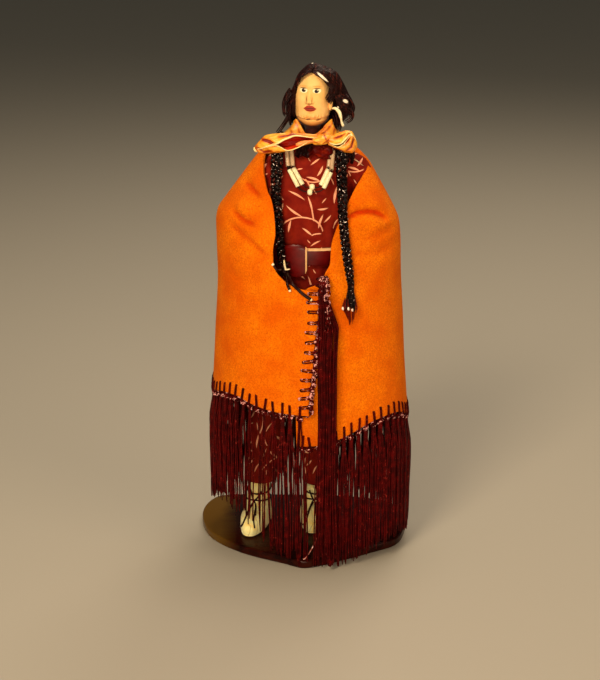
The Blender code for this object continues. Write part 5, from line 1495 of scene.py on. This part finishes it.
def make_braid_end():
    """The red ends of the right braid's tassel, and the three pale knots that hold them."""
    chance = random.Random(31)
    routes, ties = [], []

    def front(x, z, out):
        return -(blanket_front(x, z) + out)

    for _ in range(34):
        across = chance.uniform(-1, 1)
        foot = 171.5 + 9.0 * abs(across) ** 1.5 + chance.uniform(0, 5)
        top = Vector((26.6 + across * 3.4, front(26, 190, 2.6 + 2.2 * chance.random()), 191.0))
        bend = Vector((26.6 + across * 4.9, front(26, 184, 2.4 + 2.0 * chance.random()), 185.0))
        low = Vector((27.4 + across * 3.2, front(27, foot, 2.0 + 1.6 * chance.random()), foot))
        line = through([top, bend, low], 4)
        routes.append([(p, 0.4 - 0.03 * k, 0.4 - 0.03 * k, None) for k, p in enumerate(line)])
    for x, z in ((21.9, 185.6), (25.6, 185.2), (28.2, 184.4)):
        y = front(x, z, 6.4)
        ties.append(swelling([(x, y + 0.4, z + 1.0, 0.5), (x, y, z, 0.85, 0.7), (x + 0.3, y + 0.3, z - 1.1, 0.5)]))
    red = combed_hair("red_hair_ends", "#4A0602", "#A82404")
    wear(strands("plait_ends", routes, 6), "dark_hair", red)
    wear(strands("plait_ties", ties, 8), "dark_hair", satin("pale_tie", "#FFF4E0", "#FFE0C8", "#E8A080"))


# The neckerchief
COLLAR_TOPS = [
    (-180, 299.0), (-80, 300.6), (-62, 302.6), (-48, 300.6), (-33, 296.8), (-15, 294.4), (0, 293.4),
    (20, 293.6), (32, 296.2), (45, 300.4), (56, 302.8), (75, 300.8), (180, 299.0),
]


def collar_point(u, v):
    """The folded collar: up the neck, over its edge and down onto the shoulders."""
    turn = 2 * pi * u
    angle = degrees(remainder(turn, 2 * pi))
    away = abs(angle)
    peak = bump(angle - 56, 16) + 1.5 * bump(angle + 62, 16)
    top = along(COLLAR_TOPS, angle)[0] + 0.25 * sin(9 * turn)
    flare = [(0, 23.5), (22, 22.0), (40, 19.0), (60, 19.0), (90, 19.4), (180, 17.5)]
    low = [(0, 290.4), (35, 291.6), (62, 293.4), (100, 291.6), (180, 291.0)]
    if v < 0.4:
        t = v / 0.4
        radius, height = 9.8 + (1.6 + 1.6 * peak) * t, 291.0 + (top - 291.0) * t
    elif v < 0.52:
        t = (v - 0.4) / 0.12
        radius = 11.4 + 1.6 * peak + (0.9 * sin(t * pi / 2) + 0.4 * t) * (1 - 0.5 * min(peak, 1))
        height = top + (0.6 * sin(t * pi) - 0.3 * t) * (1 - 0.6 * min(peak, 1))
    else:
        t = (v - 0.52) / 0.48
        start = 11.4 + 1.6 * peak + 1.3 * (1 - 0.5 * min(peak, 1))
        radius = start + (along(flare, away)[0] - start) * t ** 1.2
        height = top - 0.3 + (along(low, away)[0] - top + 0.3) * t ** 0.85
        fold = sin(7 * turn + 1.4 * sin(3 * turn)) * (0.3 + 0.7 * t)
        crease = rough((10 * turn, 4 * t, 0), 2.2, 12)
        radius += 0.7 * fold + 0.5 * crease
        height += 0.3 * fold
    return Vector((NECK_X - radius * sin(turn), -radius * cos(turn), height))


LEFT_LOOP = [
    (5.0, 294.2, 2.4, -28.6, 2.0, 4, 0), (-1.0, 293.9, 3.0, -28.6, 3.0, 32, 4),
    (-9.0, 292.6, 4.6, -28.8, 3.6, 50, -1),
    (-16.0, 291.8, 5.9, -28.8, 3.8, 33, -6), (-22.5, 291.2, 6.2, -28.6, 3.8, 4, -4),
    (-28.5, 290.3, 5.9, -28.2, 3.6, 2, -8),
    (-32.6, 288.2, 4.1, -26.4, 3.0, 2, -10), (-36.0, 287.3, 1.2, -25.4, 1.4, 2, -10),
]
RIGHT_LOOP = [
    (12.0, 293.2, 2.6, -28.6, 2.2, 3, -30), (16.2, 292.4, 3.9, -28.6, 3.2, 8, -30),
    (20.2, 292.3, 5.8, -28.6, 4.0, 10, -14),
    (24.0, 292.4, 7.0, -28.4, 4.2, 8, 18), (27.0, 291.8, 7.0, -28.2, 3.8, 3, 46),
    (29.4, 290.4, 4.9, -26.8, 3.0, 2, 56),
    (31.0, 289.6, 1.4, -26.0, 1.4, 2, 56),
]
# Creases in the bow: a bent line of X and height, its depth and width
BOW_CREASES = [
    ([(-30.5, 293.6), (-26.0, 292.6), (-22.0, 290.0)], 1.6, 1.0),
    ([(-34.6, 288.4), (-30.0, 285.6), (-25.0, 286.0)], 1.0, 1.0),
    ([(-31.0, 291.2), (-27.5, 289.4), (-25.0, 287.0)], -0.9, 1.2),
    ([(-20.0, 295.6), (-12.0, 297.0), (-3.0, 295.8)], 1.0, 0.8),
    ([(-18.0, 286.6), (-8.0, 289.2), (2.0, 292.0)], -0.6, 1.0),
    ([(25.6, 297.4), (24.4, 294.0), (21.0, 291.2), (16.0, 289.8)], 1.7, 1.1),
    ([(28.4, 294.0), (27.0, 289.0), (24.0, 286.6)], 0.9, 0.9),
    ([(28.0, 297.0), (26.6, 291.0), (22.0, 288.6)], -0.8, 1.1),
    ([(16.0, 294.6), (20.0, 296.0), (23.0, 298.0)], 0.9, 0.7), ([(22.0, 285.8), (17.0, 287.6)], 0.6, 0.8),
]


def bow_crease(x, height):
    return creased(BOW_CREASES, x, height, -0.3, 0.2)


def loop_of(name, stations, sign, face, inner_shade):
    """One loop of the bow: a band of cloth bent round, open towards the front, gathered at the knot."""
    table = sorted((sign * s[0], *s[1:]) for s in stations)
    start, end = table[0][0], table[-1][0]

    def shape(u, v):
        place = start + (end - start) * u
        height, tall, y, deep, slit, aim = along(table, place)
        opening, aim = radians(slit), radians(aim)
        angle = aim - opening - (2 * pi - 2 * opening) * v
        near = 1 - u ** 1.4
        pleat = 0.12 * near * sin(7 * angle + 2 * u) + 0.04 * sin(3 * angle + 9 * u)
        lip = 1 + 0.10 * (bump(v, 0.06) + bump(v - 1, 0.06)) * sin(pi * min(u * 1.3, 1))
        scale = (1 + pleat) * lip
        point = Vector((sign * place, y - deep * scale * cos(angle), height + tall * scale * sin(angle)))
        point.y += 0.45 * rough(point, 3.2, 14 + sign)
        if point.y < y:
            point.y += bow_crease(point.x, point.z)[0]
        return point

    loop = shaped_grid(name, 110, 130, shape)
    edit(loop, (bpy.ops.mesh.remove_doubles, {"threshold": 0.00001}))
    face_out(loop, (sign * (start + end) / 2, -28.3, 291))
    # The inner side takes the red copy of the satin, as painted shade inside the loop.
    for finish in (face, inner_shade):
        loop.data.materials.append(finish)
    with_modifier(loop, "SOLIDIFY", thickness=0.00045, offset=-1, material_offset=1, material_offset_rim=0)

    # Painted shade in the bow's creases, near the knot, along its low edge and at its left tip, and a middle share
    # behind the front.
    def depth(p):
        knot = 0.3 * bump(p.x - 8.5, 5.0)
        low = 0.3 * ease(286.5 - p.z, 0, 2)
        tip = 0.5 * bump(p.x + 35.5, 2.0)
        return max(0.8 * bow_crease(p.x, p.z)[1], knot, low, tip) if p.y < -26.5 else 0.5

    store_painted_shade(loop, depth)
    # Rolled hems along both lips, in the pale satin of painted highlight.
    hems = []
    for v, size in ((0.0, 0.3), (1.0, 0.5)):
        points = [shape(0.04 + 0.92 * k / 40, v) + Vector((0, -0.25, 0)) for k in range(41)]
        hems.append(swelling((*p, size * (0.3 + sin(pi * k / 40))) for k, p in enumerate(points)))
    return wear(loop, "gold_satin"), hems


def knot_point(u, v):
    """The knot: a tight wrap with pleats across it."""
    turn, rise = 2 * pi * u, pi * (v - 0.5)
    pleat = 1 + 0.10 * sin(5 * turn + 3.0 * sin(2 * rise)) + 0.12 * rough((u * 5, v * 5, 0), 1.0, 6)
    x = 6.0 * pleat * cos(rise) * cos(turn)
    y = 3.8 * pleat * cos(rise) * sin(turn)
    return Vector((7.8 + 1.1 * x, y - 28.6, 293.4 + 3.1 * pleat * sin(rise) + 0.12 * x))


def tail_point(u, v):
    """The crumpled red cloth below the knot."""
    x = -10.0 + 26.0 * u
    drop = 9.0 + 1.4 * sin(u * 9) + 1.0 * sin(u * 23) + 2.0 * u
    height = 291.5 - drop * v
    y = -26.4 + 2.4 * v + 1.3 * rough((x, height, 0), 2.4, 8) + 0.7 * sin(x * 1.3) * v
    return Vector((6.0 + (x - 6.0) * (0.8 + 0.2 * v), y, height))


def make_scarf():
    # The satins run from light to dark by the stored depth as painted shade; the red copy for the loops' inner sides
    # stands for the shade inside them.
    gold = satin("gold_satin", "#FFC440", "#F08C18", "#8E1402")
    inner_shade = satin("satin_inner_shade", "#E43C08", "#CC2004", "#7E0A02", 0.05)
    # The cloth under the knot: dark red, with painted shadow taking it near black.
    dark = satin("red_satin", "#B02C0A", "#5A0602", "#140000", 0.08)
    # The pale satin for the rolled hems: its cream is a painted highlight along the edges.
    pale = satin("satin_hem_highlight", "#FFEBAA", "#FFD880", "#E89030")
    collar = weld(shaped_grid("scarf_collar", 144, 60, collar_point), 0.00001)
    face_out(collar, (NECK_X, 0, 296))
    with_modifier(collar, "SOLIDIFY", thickness=0.0005, offset=0)
    lines = (([(-9.6, 302.0), (-7.4, 297.6), (-6.0, 292.0)], 0.5), ([(-14.0, 299.0), (-11.0, 294.0)], 0.45),
             ([(-7.0, 302.0), (-1.6, 295.0)], 0.4), ([(15.6, 301.0), (12.0, 297.0), (8.0, 294.0)], 0.5),
             ([(17.0, 300.0), (16.0, 294.0)], 0.5), ([(10.0, 298.0), (4.0, 293.4)], 0.35))
    # Painted shade on the collar: where it meets the neck, along its low edge and in its creases.
    store_painted_shade(collar, lambda p: max(0.75 * bump(hypot(p.x - NECK_X, p.y) - 10, 1.2), 0.4 * bump(p.z - 291, 2.0),
                                      max(deep * bump(far_from(p.x, p.z, line)[0], 0.8) for line, deep in lines)))
    wear(collar, "gold_satin", gold, stands_for=["scarf"])
    left, hems_left = loop_of("bow_loop_left", LEFT_LOOP, -1, gold, inner_shade)
    right, hems_right = loop_of("bow_loop_right", RIGHT_LOOP, 1, gold, inner_shade)
    lump = swelling((x, -31.0, z, radius) for x, z, radius in
                    ((-9.0, 290.6, 0.8), (-7.0, 291.0, 1.5), (-5.0, 291.6, 1.5), (-3.0, 292.4, 1.1),
                     (0.0, 292.6, 1.0),
                     (2.0, 293.0, 0.6)))
    wear(strands("bow_lump", [lump], 12), "gold_satin", satin("orange_satin", "#FFA860", "#F08838", "#B03008"))
    corner = swelling([(-36.2, -26.0, 288.0, 0.4), (-36.0, -26.4, 286.8, 0.9), (-35.2, -26.4, 285.6, 0.95),
                       (-34.4, -26.0, 284.8, 0.4)])
    wear(strands("bow_hems", hems_left + hems_right + [corner], 6), "gold_satin", pale)
    knot = weld(shaped_grid("bow_knot", 48, 32, knot_point))
    pleats = (([(9.5, 296.5), (12.5, 291.0)], 0.6, 0.6), ([(8.8, 291.6), (14.0, 295.0)], 0.55, 0.6),
              ([(2.0, 292.0), (8.0, 293.0)], 0.35, 0.7))
    # Painted shade on the knot: below it and in its pleats.
    store_painted_shade(knot, lambda p: max(0.45 * ease(291.5 - p.z, 0, 3),
                                    max(deep * bump(far_from(p.x, p.z, line)[0], wide) for line, deep,
                                        wide in pleats)))
    wear(knot, "gold_satin", gold)
    tails = shaped_grid("bow_tails", 60, 40, tail_point)
    with_modifier(tails, "SOLIDIFY", thickness=0.0005, offset=0)
    # Painted shadow: darkest at the left under the bow, darker at the top under the knot and at the right end.
    store_painted_shade(tails, lambda p: 0.75 - 0.55 * ease(p.x, -3, 5) + 0.3 * bump(p.z - 290, 2) + 0.3 * ease(p.x, 10, 14))
    wear(tails, "gold_satin", dark)


# Small things
def bone_tube(name, upper, lower, length, radius=1.4):
    """A bone tube, drilled at both ends."""
    tube = begin(name, bpy.ops.mesh.primitive_cylinder_add, vertices=20, radius=radius * MM, depth=length * MM,
                 end_fill_type="NGON")
    for face in tube.data.polygons:
        face.select = abs(face.normal.z) > 0.9
    bpy.ops.object.mode_set(mode="EDIT")
    bpy.ops.mesh.select_mode(type="FACE")
    bpy.ops.mesh.inset(thickness=0.0006, use_individual=True)
    bpy.ops.mesh.select_mode(type="VERT")
    bpy.ops.mesh.select_all(action="DESELECT")
    bpy.ops.object.mode_set(mode="OBJECT")
    for vert in tube.data.vertices:
        if hypot(vert.co.x, vert.co.y) < 0.6 * radius * MM:
            vert.co.z *= 0.86
    with_modifier(tube, "BEVEL", width=0.0002, segments=2, limit_method="ANGLE", angle_limit=radians(40))
    middle = (Vector(upper) + Vector(lower)) / 2
    lean = (Vector(lower) - Vector(upper)).to_track_quat("Z", "Y").to_matrix()
    for vert in tube.data.vertices:
        swell = 1 + 0.05 * cos(vert.co.z / (length * MM) * pi)
        vert.co = lean @ Vector((vert.co.x * swell, vert.co.y * swell, vert.co.z)) + spot(middle)
    return tube


def make_necklace():
    bone = polished_bone("polished_bone", True)
    white = polished_bone("white_bone", False)
    cord = smooth_leather("waxed_cord", "#140806", "#2A120C", 0.6)
    number = 0
    for label, strand in (("outer", STRAND_OUTER), ("inner", STRAND_INNER)):
        points = []
        for x, height, off in strand:
            front = torso_front(x, min(height, CHEST_TOP)) + 1.4 + 0.3 + 1.2 + off
            points.append(Vector((x, -front, height)))
        for k in (0, 1, 4, 5):
            number += 1
            a, b = points[k], points[k + 1]
            length = min(13.2, (b - a).length - 0.6)
            tube = bone_tube("bone_tube_%d" % number, a, b, length)
            wear(tube, "bone", bone, stands_for=["necklace_tube_%d" % number])
        bead = begin("bone_bead_" + label, bpy.ops.mesh.primitive_uv_sphere_add, segments=24, ring_count=16,
                     radius=2.1 * MM)
        axis = (points[4] - points[2]).to_track_quat("Z", "Y").to_matrix()
        for vert in bead.data.vertices:
            flat = 0.82 if abs(vert.co.z) > 1.9 * MM else 1.0
            vert.co = axis @ Vector((vert.co.x, vert.co.y, vert.co.z * 0.95 * flat)) + spot(points[3])
        wear(bead, "bone", white, stands_for=["necklace_bead_" + label])
        string = strands("cord_" + label, [spun(points, 6, 0.35)], 6)
        wear(string, "dark_cord", cord, stands_for=["necklace_cord_" + label])


def make_thong(leather):
    """The thong that ties the left braid, its knot, and two ends with pale cut tips, with a pale L and a dot over the
    knot as painted highlight.
    """
    pale = smooth_leather("pale_thong_tips_and_highlight", "#F0D8A0", "#FFF8D8", 0.6)
    middle = Vector((-16.4, -belt_front(-17) - 2.8, 206.4))
    routes, tips = [], []

    def front(x, z, out):
        return -(blanket_front(x, z) + 2.8 + out)

    for size, lift, tilt in ((2.6, 3.2, 0.3), (3.0, 1.5, -0.3), (3.0, -0.2, 0.25), (2.6, -1.8, -0.2),
                             (2.2, -3.2, 0.2)):
        loop = ring(middle + Vector((0, 0.2, lift)), (size, 0, tilt * size), (0, 2.0, 0), 9, 0.785)
        routes.append(spun(loop, 3, 0.95))
    lead = [(-23.8, front(-23.8, 212.8, 1.1), 213.8), (-21.2, front(-21.2, 209, 1.2), 210.6),
            (-18.4, middle.y - 1.9, 206.6), (-15.8, middle.y - 2.2, 204.8)]
    short = [(-15.8, middle.y - 1.8, 203.6), (-14.8, front(-14.8, 203.5, 1.8), 202.4),
             (-14.2, front(-14.2, 199, 1.2), 200.2), (-13.2, front(-13, 196, 1.2), 197.8)]
    long = [(-15.2, middle.y - 1.6, 204.6), (-11.6, front(-11.6, 201, 2.2), 202.6),
            (-8.0, front(-8.0, 198, 1.4), 198.6),
            (-4.0, front(-4, 194, 1.2), 194.8), (0.6, front(0.6, 192, 1.2), 191.6)]
    for route, size in ((lead, 0.8), (short, 0.95), (long, 1.1)):
        routes.append(spun(route, 5, size))
    for end, before in ((lead[0], lead[1]), (short[-1], short[-2]), (long[-1], long[-2])):
        run = (Vector(end) - Vector(before)).normalized()
        tips.append(plain([Vector(end) - run * 0.2, Vector(end) + run * 1.2], 0.95))
    # A pale L and a dot over the knot: painted highlight of the thong's loop, made as pale pieces.
    y = middle.y - 3.4
    tips.append(swelling((x, y, z, r, 0.8 * r) for x, z, r in
                         ((-17.0, 213.6, 0.4), (-16.8, 212.0, 0.7), (-16.4, 209.0, 0.75), (-15.9, 207.0, 0.85),
                          (-14.4, 207.0, 0.7), (-13.0, 207.3, 0.4))))
    tips.append(swelling([(-15.6, y - 1.2, 203.4, 0.7), (-14.8, y - 1.4, 203.8, 1.2, 0.9),
                          (-13.8, y - 1.2, 204.4, 0.6)]))
    wear(strands("braid_thong", routes, 7), "thong", leather, stands_for=["braid_tie"])
    wear(strands("thong_tips", tips, 7), "thong", pale)


def make_ear_drop():
    """The drop at the right ear: a small ring, a bead and two pale links."""
    drop = [
        ((15.0, -7.4, 310.2), 0.6), ((16.1, -8.4, 310.6), 1.0), ((17.7, -9.2, 310.2), 1.2),
        ((19.5, -9.6, 308.2), 1.5),
        ((20.5, -9.7, 305.4), 1.3), ((21.0, -9.7, 302.9), 0.8), ((21.5, -9.6, 301.0), 1.0),
        ((22.1, -9.5, 299.4), 1.1),
        ((22.4, -9.4, 298.6), 0.7),
    ]
    route = swelling(through([(*p, 0.85 * r) for p, r in drop], 4))
    wear(strands("shell_drop", [route], 10), "shell_white", polished_bone("pale_shell", False),
         stands_for=["ear_drop"])


def make_loose_threads(thread):
    """Two loose ends of thread that lie over the board's front."""
    routes = [
        spun([(9.0, -44.0, 22.0), (6.0, -47.0, 16.0), (2.0, -49.0, 8.0), (-2.5, -50.5, 1.4), (-4.2, -50.8, 0.9)], 5,
             0.42),
        spun([(10.0, -44.0, 22.0), (8.0, -47.4, 14.0), (10.6, -49.5, 8.0), (13.0, -51.0, 3.4)], 5, 0.34),
    ]
    wear(strands("loose_threads", routes, 6), "maroon_thread", thread)


def main():
    make_studio()
    make_base()
    blanket = make_blanket()
    maroon = silk_thread("maroon_silk_thread", "#380000", "#620302", "#982820", 0.30)
    hitched = silk_thread("maroon_silk_hitches", "#300000", "#6A0604", "#FFB4AC", 0.43)
    pink = silk_thread("pink_silk_thread", "#B85848", "#E09080", "#FFD0C8", 0.4)
    stitch, hitch, fringe, purl = make_fringe()
    wear(fringe, "maroon_thread", maroon, stands_for=["hem_fringe"])
    for piece in (stitch, hitch, purl, make_edge_stitches()):
        wear(piece, "maroon_thread", maroon if piece is stitch else hitched)
    threads, knot = make_bundle()
    wear(threads, "maroon_thread", maroon, stands_for=["front_fringe"])
    wear(knot, "maroon_thread", hitched)
    cotton = make_shirt()
    make_trousers(cotton)
    make_belt()
    leather = make_boots()
    make_head()
    make_hair()
    # Plaited hair: its pale specks are painted highlights.
    plait = combed_hair("plaited_hair", "#030000", "#180302", glint=0.305)
    braid_of("plait_left", BRAID_TOP_LEFT, BRAID_LEFT, 0, 21, plait, "braid_left")
    braid_of("plait_right", BRAID_TOP_RIGHT, BRAID_RIGHT, 197, 22, plait, "braid_right")
    make_braid_end()
    make_scarf()
    make_necklace()
    make_thong(leather)
    make_ear_drop()
    make_loose_threads(pink)


main()
